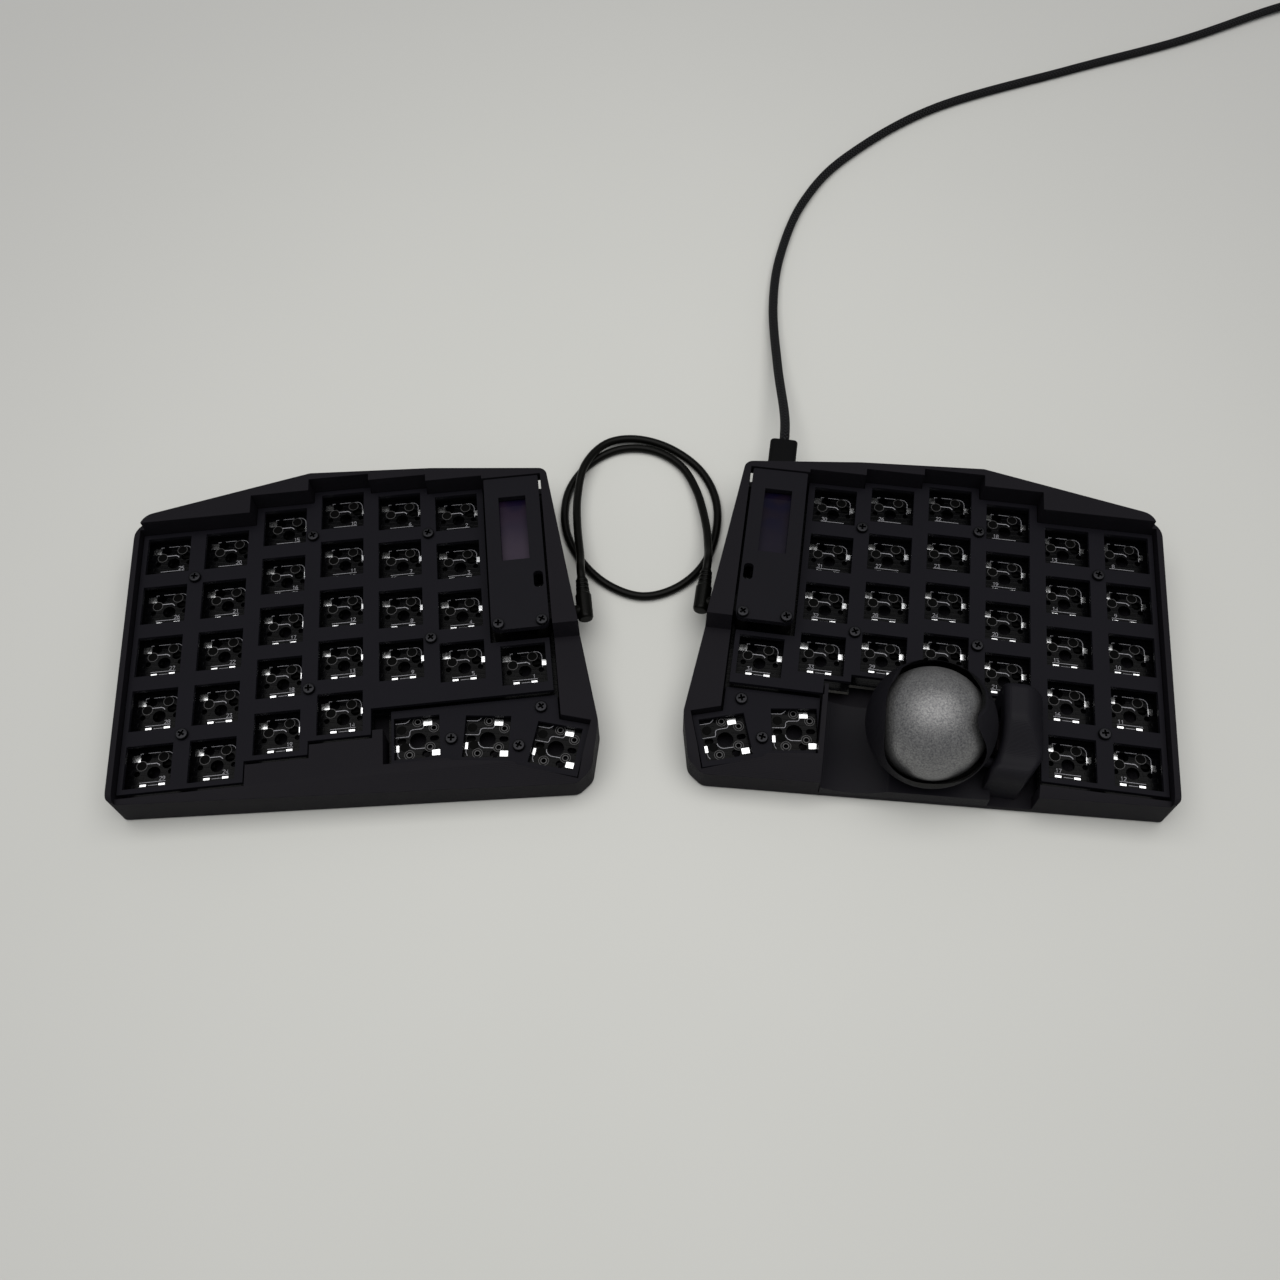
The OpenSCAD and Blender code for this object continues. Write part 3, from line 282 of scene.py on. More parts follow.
# Circuit boards: fibreglass under a black solder mask, drilled for switches and sockets.
# They lie on the bosses of the trays; the mask is half glossy, and the sawn edges at the ball are bare.
SAWN_AREA, SAWN_REACH = 3, 48
board_paint = Paint("black_solder_mask", 0.3, 0.065)
board_at = board_paint.place()
board_tracks = board_paint.node("ShaderNodeTexBrick", {"offset": 0.5}, {
    "Vector": board_paint.place(0.16, (0, 0, 0.11)), "Scale": 1.0, "Mortar Size": 0.05,
    "Mortar Smooth": 0.4}, out=1)
board_speck = board_paint.noise(board_at, 1.6, 2)
board_finish = board_paint.into(
    Base_Color=board_paint.mix(board_speck * 0.4 + board_tracks * 0.5, linear(2, 2, 3), linear(8, 8, 10)),
    Roughness=board_speck * 0.2 + 0.16,
    Normal=board_paint.bump(board_tracks + board_speck * 0.2, 0.02))
glass_edge_paint = Paint("sawn_fibreglass", 0.7, 0.3)
glass_edge_weave = glass_edge_paint.noise(glass_edge_paint.place((2, 2, 14)), 1.0, 3)
glass_edge_finish = glass_edge_paint.into(
    Base_Color=glass_edge_paint.mix(glass_edge_weave, linear(86, 85, 82), linear(136, 135, 130)))
ball_low, ball_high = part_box("ball")
ball_middle = (ball_low + ball_high) / 2
for board in ("left_pcb", "right_pcb"):
    sheet = merged(board)
    for face in sheet.faces:
        away = face.calc_center_median() - ball_middle
        large, near = face.calc_area() > SAWN_AREA * MM * MM, away.xy.length < SAWN_REACH * MM
        if face.normal.y < -0.5 and large and near:
            face.material_index = 1
    board_piece = piece(sheet, board + "_masked", board_finish, corner=30)
    board_piece.data.materials.append(glass_edge_finish)
    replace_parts(board_piece, board)


# Print of the boards: white ink lines and plain switch numbers, and tinned solder pads.
# Both boards carry the same footprint the same way round, so nothing of it is mirrored.
KEY_PITCH, BOARD_TOP, CONTACT_DROP = 19.05, 8.0, 1.58
FINE_LINE, PLAIN_LINE, BROAD_LINE = 0.14, 0.16, 0.24
left_half = Matrix.Translation(Vector((-97.583, 8.971, 0))) @ Matrix.Rotation(math.radians(6.2), 4, "Z")
right_half = (Matrix.Translation(Vector((96.617, 8.971, 0))) @ Matrix.Rotation(math.radians(-8.3), 4, "Z")
              @ Matrix.Scale(-1, 4, (1, 0, 0)))
unmirror = Matrix.Scale(-1, 4, (1, 0, 0))
column_top = {1: 26.7, 2: 26.7, 3: 33.6, 4: 38.1, 5: 35.5, 6: 32.9, 7: 29.6}
thumb_keys = {1: (23.0, -47.8, 0.0), 2: (44.2, -49.9, -7.5), 3: (64.8, -55.3, -17.5)}
left_rows = {7: (4,), 6: (1, 2, 3, 4), 5: (1, 2, 3, 4), 4: (1, 2, 3, 4, 5), 3: (1, 2, 3, 4, 5),
             2: (1, 2, 3, 4, 5), 1: (1, 2, 3, 4, 5)}
right_rows = {1: (1, 2, 3, 4, 5), 2: (1, 2, 3, 4, 5), 3: (1, 2, 3, 4), 4: (1, 2, 3, 4), 5: (1, 2, 3, 4),
              6: (1, 2, 3, 4), 7: (4,)}
digit_strokes = {
    "0": [(0, 0.4), (0, 1.6), (0.4, 2), (0.7, 2), (1, 1.6), (1, 0.4), (0.7, 0), (0.4, 0), (0, 0.4)],
    "1": [(0.2, 1.6), (0.6, 2), (0.6, 0)],
    "2": [(0, 1.7), (0.3, 2), (0.8, 2), (1, 1.7), (1, 1.3), (0, 0), (1, 0)],
    "3": [(0, 2), (1, 2), (0.5, 1.2), (1, 0.8), (1, 0.3), (0.7, 0), (0.2, 0), (0, 0.3)],
    "4": [(0.75, 0), (0.75, 2), (0, 0.6), (1, 0.6)],
    "5": [(1, 2), (0, 2), (0, 1.15), (0.7, 1.15), (1, 0.8), (1, 0.3), (0.7, 0), (0, 0)],
    "6": [(0.9, 2), (0.3, 1.6), (0, 1), (0, 0.3), (0.3, 0), (0.7, 0), (1, 0.3), (1, 0.8), (0.7, 1.1),
          (0.1, 0.9)],
    "7": [(0, 2), (1, 2), (0.4, 0)],
    "8": [(0.3, 1.1), (0, 1.4), (0, 1.7), (0.3, 2), (0.7, 2), (1, 1.7), (1, 1.4), (0.7, 1.1), (1, 0.8),
          (1, 0.3), (0.7, 0), (0.3, 0), (0, 0.3), (0, 0.8), (0.3, 1.1), (0.7, 1.1)],
    "9": [(0.1, 0), (0.7, 0.4), (1, 1), (1, 1.7), (0.7, 2), (0.3, 2), (0, 1.7), (0, 1.2), (0.3, 0.9),
          (0.9, 1.1)]}


def ribbon(shape, points, width, at):
    """A flat line of that width through points, an edge extruded from each point to the next."""
    line = [Vector((*p, 0)) for p in points]
    edge = None
    for i, here in enumerate(line):
        into = (here - line[max(i - 1, 0)]).normalized()
        away = (line[min(i + 1, len(line) - 1)] - here).normalized()
        along = (into + away).normalized()
        mitre = max(0.5, along.dot(away if i == 0 else into))
        across = Vector((-along.y, along.x, 0)) * (width / 2 / mitre)
        if edge is None:
            pair = [bmesh.ops.create_vert(shape, co=here)["vert"][0] for _ in range(2)]
            edge = bmesh.ops.contextual_create(shape, geom=pair)["edges"][0]
        else:
            grown = bmesh.ops.extrude_edge_only(shape, edges=[edge])["geom"]
            edge = next(g for g in grown if isinstance(g, bmesh.types.BMEdge))
        turned = (edge.verts[1].co - edge.verts[0].co).dot(across) < 0 and i > 0
        first, second = (edge.verts[1], edge.verts[0]) if turned else edge.verts
        first.co, second.co = at @ (here - across), at @ (here + across)


def patch(shape, low, high, at):
    """A flat rectangular pad between two corners."""
    bmesh.ops.create_grid(shape, x_segments=1, y_segments=1, size=0.5, matrix=at @ Matrix.Translation(
        Vector(((low[0] + high[0]) / 2, (low[1] + high[1]) / 2, 0))) @ Matrix.Diagonal(
            (high[0] - low[0], high[1] - low[1], 1, 1)))


def annulus(shape, middle, inner, outer, at):
    """A flat plated ring round a hole."""
    rings = [bmesh.ops.create_circle(shape, segments=20, radius=r, matrix=at @ Matrix.Translation(
        Vector((*middle, 0))))["verts"] for r in (inner, outer)]
    bmesh.ops.bridge_loops(shape, edges=list({e for ring in rings for v in ring for e in v.link_edges}))


def arc(middle, radius, start, end, steps=6):
    """Points on a round stretch between two angles in degrees."""
    angles = [math.radians(start + (end - start) * i / steps) for i in range(steps + 1)]
    return [(middle[0] + radius * math.cos(a), middle[1] + radius * math.sin(a)) for a in angles]


def switch_print(ink, tin, plating, at, number, number_x):
    """Footprint of one main switch: socket outline, its pads, the lamp's pads below and the number."""
    patch(tin, (-6.9, 3.95), (-4.3, 6.2), at)
    patch(tin, (5.45, 1.5), (6.95, 3.5), at)
    patch(tin, (-3.9, -4.35), (-2.05, -3.7), at)
    patch(tin, (1.75, -4.35), (3.6, -3.7), at)
    ribbon(ink, [(-4.45, 6.1), (-4.45, 6.65), (-3.6, 6.65)], PLAIN_LINE, at)
    ribbon(ink, [(-2.1, 6.65), (1.5, 6.65)], PLAIN_LINE, at)
    ribbon(ink, [(3.0, 6.65)] + arc((3.55, 4.65), 2.0, 90, 0) + [(5.55, 0.85)], PLAIN_LINE, at)
    ribbon(ink, [(-2.4, 3.1), (0.2, 3.1)] + arc((0.2, 1.6), 1.55, 90, 25), BROAD_LINE, at)
    ribbon(ink, [(-4.05, -3.05), (3.75, -3.05)], PLAIN_LINE, at)
    ribbon(ink, [(-1.4, -4.1), (1.45, -4.1)], PLAIN_LINE, at)
    for place, digit in enumerate(str(number)):
        start = number_x + place * 0.95 + (0.5 if number < 10 else 0)
        ribbon(ink, [(start + 0.68 * x, -2.75 + 0.62 * y) for x, y in digit_strokes[digit]], FINE_LINE, at)
    below = at @ Matrix.Translation(Vector((0, 0, -CONTACT_DROP)))
    patch(tin, (-4.0, 1.85), (-3.2, 2.35), below)
    patch(tin, (2.5, 4.5), (2.95, 4.9), below)
    for middle in ((-3.81, 2.54), (2.54, 5.08)):
        annulus(plating, middle, 1.5, 1.66, at)


def thumb_switch_print(ink, tin, plating, at):
    """Footprint of a thumb switch, with its wider pads and the winding outline of the socket."""
    patch(tin, (1.75, 4.75), (4.35, 6.9), at)
    patch(tin, (4.2, -5.6), (6.6, -3.75), at)
    patch(tin, (-6.75, -3.4), (-5.85, -1.2), at)
    ribbon(ink, [(-6.9, 6.2), (-3.7, 6.2), (-3.0, 6.6), (-2.4, 7.3)], PLAIN_LINE, at)
    ribbon(ink, [(-6.9, 1.5), (-2.9, 1.5), (-2.55, 2.1), (-2.5, 3.0), (-2.2, 3.5), (-1.6, 3.75), (1.1, 3.8),
                 (1.5, 4.0), (1.9, 4.8)], PLAIN_LINE, at)
    ribbon(ink, [(-2.75, -0.9), (-2.5, -1.7), (-1.9, -2.4), (-1.0, -2.8), (2.0, -2.85)], 0.18, at)
    ribbon(ink, [(-6.3, -3.4), (-6.2, -4.6), (-5.7, -5.6)], PLAIN_LINE, at)
    for middle in ((0, 6.2), (4.9, 3.8), (3.6, -2.6), (-2.7, -4.7)):
        annulus(plating, middle, 0.75, 1.0, at)
        annulus(plating, middle, 1.45, 1.6, at)


ink_paint = Paint("white_board_ink", 0.6, 0.3)
ink_wear = ink_paint.noise(ink_paint.place(), 2.5, 3).above(0.42, 0.2)
ink_finish = ink_paint.into(
    Base_Color=ink_paint.mix(ink_wear, linear(104, 104, 110), linear(158, 158, 164)))
tin_paint = Paint("tinned_pads", 0.32, 0.5, Metallic=1.0)
tin_ripple = tin_paint.noise(tin_paint.place(), 0.9, 2)
tin_finish = tin_paint.into(
    Base_Color=tin_paint.mix(tin_ripple, linear(222, 224, 228), linear(246, 247, 248)),
    Roughness=tin_ripple * 0.2 + 0.1, Normal=tin_paint.bump(tin_ripple, 0.03))
plating_paint = Paint("masked_plating", 0.4, 0.3)
plating_finish = plating_paint.into(Base_Color=plating_paint.mix(
    plating_paint.noise(plating_paint.place(), 1.8, 2), linear(52, 52, 54), linear(84, 83, 84)))
for half, side, rows, thumbs, first, number_x, turn in (
        (left_half, "left", left_rows, (1, 2, 3), 1, 1.85, Matrix.Identity(4)),
        (right_half, "right", right_rows, (2, 3), 8, -3.65, unmirror)):
    ink, tin, plating = bmesh.new(), bmesh.new(), bmesh.new()
    to_row = Matrix.Scale(MM, 4) @ half
    number = first
    for column, places in rows.items():
        for row in places:
            cell = Vector(((column - 4) * KEY_PITCH, column_top[column] - (row - 1) * KEY_PITCH, BOARD_TOP))
            switch_print(ink, tin, plating, to_row @ Matrix.Translation(cell) @ turn, number, number_x)
            number += 1
    for key in thumbs:
        x, y, lean = thumb_keys[key]
        thumb_switch_print(ink, tin, plating, to_row @ Matrix.Translation(Vector((x, y, BOARD_TOP)))
                           @ Matrix.Rotation(math.radians(lean), 4, "Z") @ turn)
    for shape, name, finish, thick in ((ink, "ink", ink_finish, 0.03), (tin, "pads", tin_finish, 0.05),
                                      (plating, "plating", plating_finish, 0.02)):
        for face in shape.faces:
            if face.normal.z < 0:
                face.normal_flip()
        bmesh.ops.solidify(shape, geom=shape.faces[:], thickness=-thick * MM)
        bmesh.ops.recalc_face_normals(shape, faces=shape.faces)
        piece(shape, f"{side}_board_{name}", finish, corner=30)


# Sockets, diodes, jacks and reset switches: black nylon bodies soldered to the boards.
# The hot-swap sockets are the most matt, and show only deep in the drilled holes.
nylon_paint = Paint("black_nylon", 0.55, 0.2)
nylon_cloud = nylon_paint.noise(nylon_paint.place(), 0.8, 3)
nylon_finish = nylon_paint.into(
    Base_Color=nylon_paint.mix(nylon_cloud, linear(5, 5, 6), linear(12, 12, 13)),
    Normal=nylon_paint.bump(nylon_paint.noise(nylon_paint.place(), 6.0, 2), 0.02))
dress(nylon_finish, "black_plastic", "diodes", "display_sockets", "left_jack", "right_jack",
      "left_reset_switch", "right_reset_switch")
socket_paint = Paint("matt_socket_nylon", 0.75, 0.06)
socket_finish = socket_paint.into(Base_Color=socket_paint.mix(
    socket_paint.noise(socket_paint.place(), 0.8, 3), linear(2, 2, 2), linear(6, 6, 6)))
dress(socket_finish, "black_plastic", "key_sockets")


# Switch plates: thin matt black sheets with square wells, finely grained on top.
# They lie on spacers over the boards; the thumb plates are set lower and stand on bosses.
plate_finish = printed_finish("plate_print", linear(12, 11, 17), linear(18, 17, 24), 0.62, 0.1, 1.0)
for plate in ("left_plate", "right_plate", "left_thumb_plate", "right_thumb_plate"):
    eased(plate, 0.2, plate_finish)


# Spacers and screws: blackened brass tubes under plates and covers, and blackened pan-head screws.
# Each screw head is a low dome with a cross recess in painted shade, and its shank runs down into a boss.
HEAD_FLAT, RECESS_WIDE, RECESS_SLIM, RECESS_DEPTH, RECESS_TAPER = 0.78, 0.58, 0.17, 0.9, 0.8
HEAD_HEIGHT, SHANK = 1.3, 0.53


def metal_finish(name, dark, light, rough):
    """Bare or blackened metal with fine turning scratches."""
    paint = Paint(name, rough, 0.5, Metallic=1.0)
    scratch = paint.noise(paint.place((9, 9, 60)), 1.0, 2)
    return paint.into(Base_Color=paint.mix(scratch, dark, light), Roughness=scratch * 0.2 + (rough - 0.1),
                      Normal=paint.bump(scratch, 0.01))


dress(metal_finish("blackened_brass", linear(20, 19, 18), linear(38, 36, 33), 0.5), "brass",
      "plate_spacers", "cover_spacers")
screw_finish = metal_finish("blackened_steel", linear(26, 26, 28), linear(54, 54, 57), 0.38)
# Painted shade: the cross recesses take a near black metal of their own.
recess_painted_shade_finish = metal_finish("painted_shade_recess", linear(3, 3, 3), linear(8, 8, 8), 0.6)


def solids_of(name):
    """Lowest and highest corner of each separate solid in a CAD node."""
    shape = merged(name)
    unread, boxes = set(shape.verts), []
    while unread:
        found, border = set(), [unread.pop()]
        while border:
            vert = border.pop()
            found.add(vert)
            near = {e.other_vert(vert) for e in vert.link_edges} & unread
            unread -= near
            border.extend(near)
        boxes.append(tuple(Vector(pick(v.co[i] for v in found) for i in range(3)) for pick in (min, max)))
    shape.free()
    return sorted(boxes, key=lambda b: tuple(b[0]))


def screw(shape, low, high, turn):
    """Pan head with a cross recess on a plain shank, between the corners of its CAD solid."""
    top = Vector(((low.x + high.x) / 2, (low.y + high.y) / 2, high.z))
    at = Matrix.Translation(top) @ Matrix.Rotation(turn, 4, "Z") @ Matrix.Scale(MM, 4)
    radius = (high.x - low.x) / 2 / MM
    wide, slim = radius * RECESS_WIDE, radius * RECESS_SLIM
    cross = [(wide, slim), (slim, slim), (slim, wide), (-slim, wide), (-slim, slim), (-wide, slim),
             (-wide, -slim), (-slim, -slim), (-slim, -wide), (slim, -wide), (slim, -slim), (wide, -slim)]
    rim = bmesh.ops.create_circle(shape, segments=24, radius=radius * HEAD_FLAT)["verts"]
    slot = [bmesh.ops.create_vert(shape, co=(x, y, 0))["vert"][0] for x, y in cross]
    slot_edges = [bmesh.ops.contextual_create(shape, geom=[slot[i - 1], slot[i]])["edges"][0]
                  for i in range(len(slot))]
    rim_edges = list({e for v in rim for e in v.link_edges})
    bmesh.ops.triangle_fill(shape, edges=slot_edges + rim_edges, use_beauty=True)
    made = set(rim) | set(slot)
    for size, drop in ((0.9, 0.06), (0.97, 0.2), (1.0, 0.45), (1.0, HEAD_HEIGHT), (SHANK, HEAD_HEIGHT),
                       (SHANK, (high.z - low.z) / MM)):
        grown = bmesh.ops.extrude_edge_only(shape, edges=rim_edges)["geom"]
        ring = [g for g in grown if isinstance(g, bmesh.types.BMVert)]
        rim_edges = [g for g in grown if isinstance(g, bmesh.types.BMEdge)]
        for v in ring:
            v.co = Vector((v.co.x, v.co.y, 0)).normalized() * radius * size - Vector((0, 0, drop))
        made |= set(ring)
    bmesh.ops.contextual_create(shape, geom=rim_edges)
    grown = bmesh.ops.extrude_edge_only(shape, edges=slot_edges)["geom"]
    floor = [g for g in grown if isinstance(g, bmesh.types.BMVert)]
    for v in floor:
        v.co = Vector((v.co.x * RECESS_TAPER, v.co.y * RECESS_TAPER, -RECESS_DEPTH))
    floor_edges = [g for g in grown if isinstance(g, bmesh.types.BMEdge)]
    base = bmesh.ops.contextual_create(shape, geom=floor_edges)["faces"]
    # The recess walls and floor take the second material, which is painted shade.
    for face in base + [g for g in grown if isinstance(g, bmesh.types.BMFace)]:
        face.material_index = 1
    made |= set(floor)
    bmesh.ops.transform(shape, matrix=at, verts=list(made))


for group in ("plate_screws", "thumb_screws", "cover_screws"):
    heads = bmesh.new()
    for order, (low, high) in enumerate(solids_of(group)):
        screw(heads, low, high, order * 1.1)
    bmesh.ops.recalc_face_normals(heads, faces=heads.faces)
    pan_heads = piece(heads, group + "_pan_head", screw_finish, corner=40)
    pan_heads.data.materials.append(recess_painted_shade_finish)
    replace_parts(pan_heads, group)


# Display bays: a controller board on two pin rows, a small display on its socket strip, a USB socket.
# A matt black lid on spacers covers them, with a window over the glass and a slot over the reset button.
dress(board_finish, "board", "left_controller", "right_controller", "display_boards")
dress(metal_finish("gilt_pins", linear(176, 146, 84), linear(214, 188, 120), 0.3), "pin_metal",
      "pin_headers")
dress(metal_finish("drawn_steel", linear(150, 151, 154), linear(196, 197, 200), 0.3), "socket_metal",
      "usb_sockets")
glass_paint = Paint("display_glass", 0.12, 0.16)
glass_at = glass_paint.place()
# Painted light and shade: the glass is painted lighter at the front and darker towards the rear under the
# window's edge, and the left screen is painted lighter and pinker than the right, though both are the same
# part.
glass_painted_shade_to_rear = part_of(glass_paint, glass_at, 1).above(37, 11)
glass_painted_light_left = part_of(glass_paint, glass_at, 0).above(0, 30)
glass_tint = glass_paint.noise(glass_at, 0.13, 1).above(0.5, 0.12)
glass_cool_far = glass_paint.mix(glass_tint, linear(10, 8, 30), linear(20, 14, 26))
glass_cool = glass_paint.mix(glass_painted_shade_to_rear, linear(27, 24, 34), glass_cool_far)
glass_warm_far = glass_paint.mix(glass_tint, linear(15, 10, 32), linear(30, 20, 36))
glass_warm = glass_paint.mix(glass_painted_shade_to_rear, linear(54, 47, 58), glass_warm_far)
glass_finish = glass_paint.into(
    Base_Color=glass_paint.mix(glass_painted_light_left, glass_warm, glass_cool),
    Roughness=glass_paint.noise(glass_at, 0.5, 3) * 0.12 + 0.06)
dress(glass_finish, "glass", "display_glasses")
cover_finish = printed_finish("cover_print", linear(14, 13, 18), linear(20, 19, 25), 0.52, 0.085, 0.45)
for lid in ("left_cover", "right_cover"):
    eased(lid, 0.25, cover_finish)
dress(metal_finish("button_steel", linear(90, 90, 94), linear(130, 130, 134), 0.4), "button",
      "left_reset_button", "right_reset_button")


# Feet: round pads of black rubber in shallow pockets under the trays.
# Their faces are matt and dusty from the desk.
def rubber_finish(name, dark, light, rough, specular=0.25):
    """Soft black rubber or elastomer with a dusty bloom."""
    paint = Paint(name, rough, specular)
    dust = paint.noise(paint.place(), 1.1, 4, 0.6)
    return paint.into(Base_Color=paint.mix(dust, dark, light), Roughness=dust * 0.2 + (rough - 0.1),
                      Normal=paint.bump(paint.noise(paint.place(), 7.0, 2), 0.02))


dress(rubber_finish("foot_rubber", linear(20, 20, 20), linear(34, 34, 34), 0.75), "foot_rubber", "feet")


# Trackball: a printed cup with a saddle mouth, a hollow hood for the sensor beside it, and the ball.
# The ball is filled resin with fine grey flake and runs on three ceramic balls set in the cup.
CUP_PAINTED_SHADE_RADIUS, CUP_WALL, CUP_MOUTH = 18.9, 18.3, -6
GAP_BEHIND, GAP_BESIDE, GAP_START, GAP_RUN = 0.07, 0.05, 3, 8
# The cup's print is painted near black close round the ball: painted shade of the gap and the inner wall.
cup_finish = printed_finish("cup_print", linear(13, 12, 17), linear(19, 18, 24), 0.5, 0.12, 0.35,
                            (ball_middle, CUP_PAINTED_SHADE_RADIUS))


def ramp(value, start, run):
    """0 up to start, rising evenly to 1 at the end of the run."""
    return min(1, max(0, (value - start) / run))


def widened_cup(shape):
    """Opens the gap behind the ball and at its outer cheek: the inner wall steps back there."""
    for v in shape.verts:
        out = v.co - ball_middle
        behind, beside = (ramp(reach / MM, GAP_START, GAP_RUN) for reach in (out.y, out.x))
        if out.length < CUP_WALL * MM and out.z > CUP_MOUTH * MM:
            v.co = ball_middle + out * (1 + max(GAP_BEHIND * behind, GAP_BESIDE * beside))


eased("ball_cup", 0.25, cup_finish, prepare=widened_cup)


def lesser(first, second, soft):
    """The lesser of two heights, rounded where they meet."""
    share = min(1, max(0, 0.5 + 0.5 * (second - first) / soft))
    return second + (first - second) * share - soft * share * (1 - share)


def shoulder(depth, radius):
    """How far a rounded edge has dropped at that depth from it."""
    return 0 if depth >= radius else radius - math.sqrt(max(0, radius ** 2 - (radius - depth) ** 2))


HOOD_REAR, HOOD_FRONT, HOOD_SIDE, HOOD_CUP, HOOD_TOP = -32.2, -60.6, -28.1, -15.6, 25.2
HOOD_CORNER, CORNER_SLANT, CHEEK_Y, CHEEK_X = -53.4, 0.64, -50, -13
STEP_Y, STEP_RUN, STEP_DROP, BROW_Y, BROW_RUN, BROW_DROP = -42.5, 14, 6.3, -57, 8, 12
SIDE_TOP, SIDE_SLOPE, SIDE_BLEND = 19, 1.5, 4
HOOD_LIP, HOOD_FLOOR, HOOD_WALL, WINDOW_HALF = 2.0, 2.95, 1.3, 9.5
CUP_X, CUP_Y, CUP_CLEAR = 5.075, -47.5, 20.75


def hood_skin(across, along):
    """A point of the hood's top: high over the sensor, low in front, cut back at its outer front corner."""
    y = HOOD_REAR + (HOOD_FRONT - HOOD_REAR) * along
    outer = max(HOOD_SIDE, HOOD_SIDE + (HOOD_CORNER - y) * CORNER_SLANT)
    cheek = CUP_X - math.sqrt(CUP_CLEAR ** 2 - (y - CUP_Y) ** 2)
    inner = HOOD_CUP if y > CHEEK_Y else min(CHEEK_X, cheek)
    x = outer + (inner - outer) * across
    step, brow = ramp(-y, -STEP_Y, STEP_RUN), ramp(-y, -BROW_Y, BROW_RUN)
    run = HOOD_TOP - STEP_DROP * step * step * (3 - 2 * step) - BROW_DROP * brow * brow
    height = lesser(run, SIDE_TOP + (x - HOOD_SIDE) * SIDE_SLOPE, SIDE_BLEND)
    drop = (shoulder(inner - x, 2.6) + shoulder(HOOD_REAR - y, 2.2) + shoulder(y - HOOD_FRONT, 2)
            + shoulder(x - outer, 1.2 if y < HOOD_CORNER else 0.8))
    return Vector((x, y, height - drop))


hood_shape = bmesh.new()
bmesh.ops.create_grid(hood_shape, x_segments=30, y_segments=64, size=0.5)
for v in hood_shape.verts:
    v.co = hood_skin(0.5 + 0.5 * math.sin(math.pi * v.co.x), 0.5 - 0.5 * math.sin(math.pi * v.co.y))
hem = [e for e in hood_shape.edges if e.is_boundary]
for lowered in (lambda z: min(SIDE_TOP, z - HOOD_LIP), lambda z: HOOD_FLOOR):
    grown = bmesh.ops.extrude_edge_only(hood_shape, edges=hem)["geom"]
    hem = [g for g in grown if isinstance(g, bmesh.types.BMEdge)]
    for v in (g for g in grown if isinstance(g, bmesh.types.BMVert)):
        v.co.z = lowered(v.co.z)
window = [f for f in hood_shape.faces if f.calc_center_median().x > HOOD_CUP - 0.2 and abs(f.normal.z) < 0.1
          and min(v.co.z for v in f.verts) < 3 and abs(f.calc_center_median().y - CUP_Y) < WINDOW_HALF]
bmesh.ops.delete(hood_shape, geom=window, context="FACES")
bmesh.ops.recalc_face_normals(hood_shape, faces=hood_shape.faces)
bmesh.ops.solidify(hood_shape, geom=hood_shape.faces[:], thickness=HOOD_WALL)
bmesh.ops.transform(hood_shape, matrix=Matrix.Scale(MM, 4) @ right_half, verts=hood_shape.verts)
bmesh.ops.recalc_face_normals(hood_shape, faces=hood_shape.faces)
hood_finish = printed_finish("hood_print", linear(16, 15, 20), linear(23, 22, 28), 0.5, 0.11, 0.35)
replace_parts(piece(hood_shape, "sensor_hood_shell", hood_finish, corner=40), "sensor_hood")

ball_paint = Paint("grey_flake_resin", 0.42, 0.5, Metallic=0.7)
ball_at = ball_paint.place()
flake = ball_paint.noise(ball_at, 1.9, 4, 0.75)
smudge = ball_paint.noise(ball_at, 0.09, 3, 0.5)
ball_finish = ball_paint.into(
    Base_Color=ball_paint.mix(flake.above(0.5, 0.22), linear(84, 84, 87), linear(142, 142, 142)),
    Roughness=flake * 0.2 + smudge * 0.16 + 0.26,
    Normal=ball_paint.bump(flake, 0.05))
ball_shape = bmesh.new()
bmesh.ops.create_uvsphere(ball_shape, u_segments=96, v_segments=64, radius=(ball_high.z - ball_low.z) / 2,
                          matrix=Matrix.Translation(ball_middle))
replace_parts(piece(ball_shape, "trackball", ball_finish, body="trackball"), "ball")

ceramic_paint = Paint("ceramic", 0.2, 0.5)
ceramic_finish = ceramic_paint.into(Base_Color=ceramic_paint.mix(
    ceramic_paint.noise(ceramic_paint.place(), 0.7, 2), linear(214, 212, 205), linear(232, 231, 226)))
dress(ceramic_finish, "support", "support_balls")
dress(board_finish, "board", "sensor_board")
dress(nylon_finish, "black_plastic", "sensor_chip")
lens_paint = Paint("smoked_lens_acrylic", 0.1, 0.4)
lens_finish = lens_paint.into(Base_Color=lens_paint.mix(
    lens_paint.noise(lens_paint.place(), 0.6, 2), linear(14, 12, 14), linear(24, 20, 22)))
dress(lens_finish, "lens", "sensor_lens")


# Link cord: a thin round cord in black rubber, with a moulded right-angle plug at each end.
# It leaves one half's jack, lies in one loose loop on the desk and goes back into the other half.
def smooth_route(points, stride):
    """Points about stride millimetres apart on a smooth curve through the route points, in metres."""
    route = [Vector(p) * MM for p in points]
    ends = [2 * route[0] - route[1]] + route + [2 * route[-1] - route[-2]]
    line = []
    for a, b, c, d in zip(ends, ends[1:], ends[2:], ends[3:]):
        steps = max(1, round((c - b).length / MM / stride))
        for i in range(steps):
            t = i / steps
            line.append(0.5 * (2 * b + (c - a) * t + (2 * a - 5 * b + 4 * c - d) * t ** 2
                               + (3 * b - a - 3 * c + d) * t ** 3))
    return line + [route[-1]]


def length_of(line):
    """Length of a line through points."""
    return sum((b - a).length for a, b in zip(line, line[1:]))


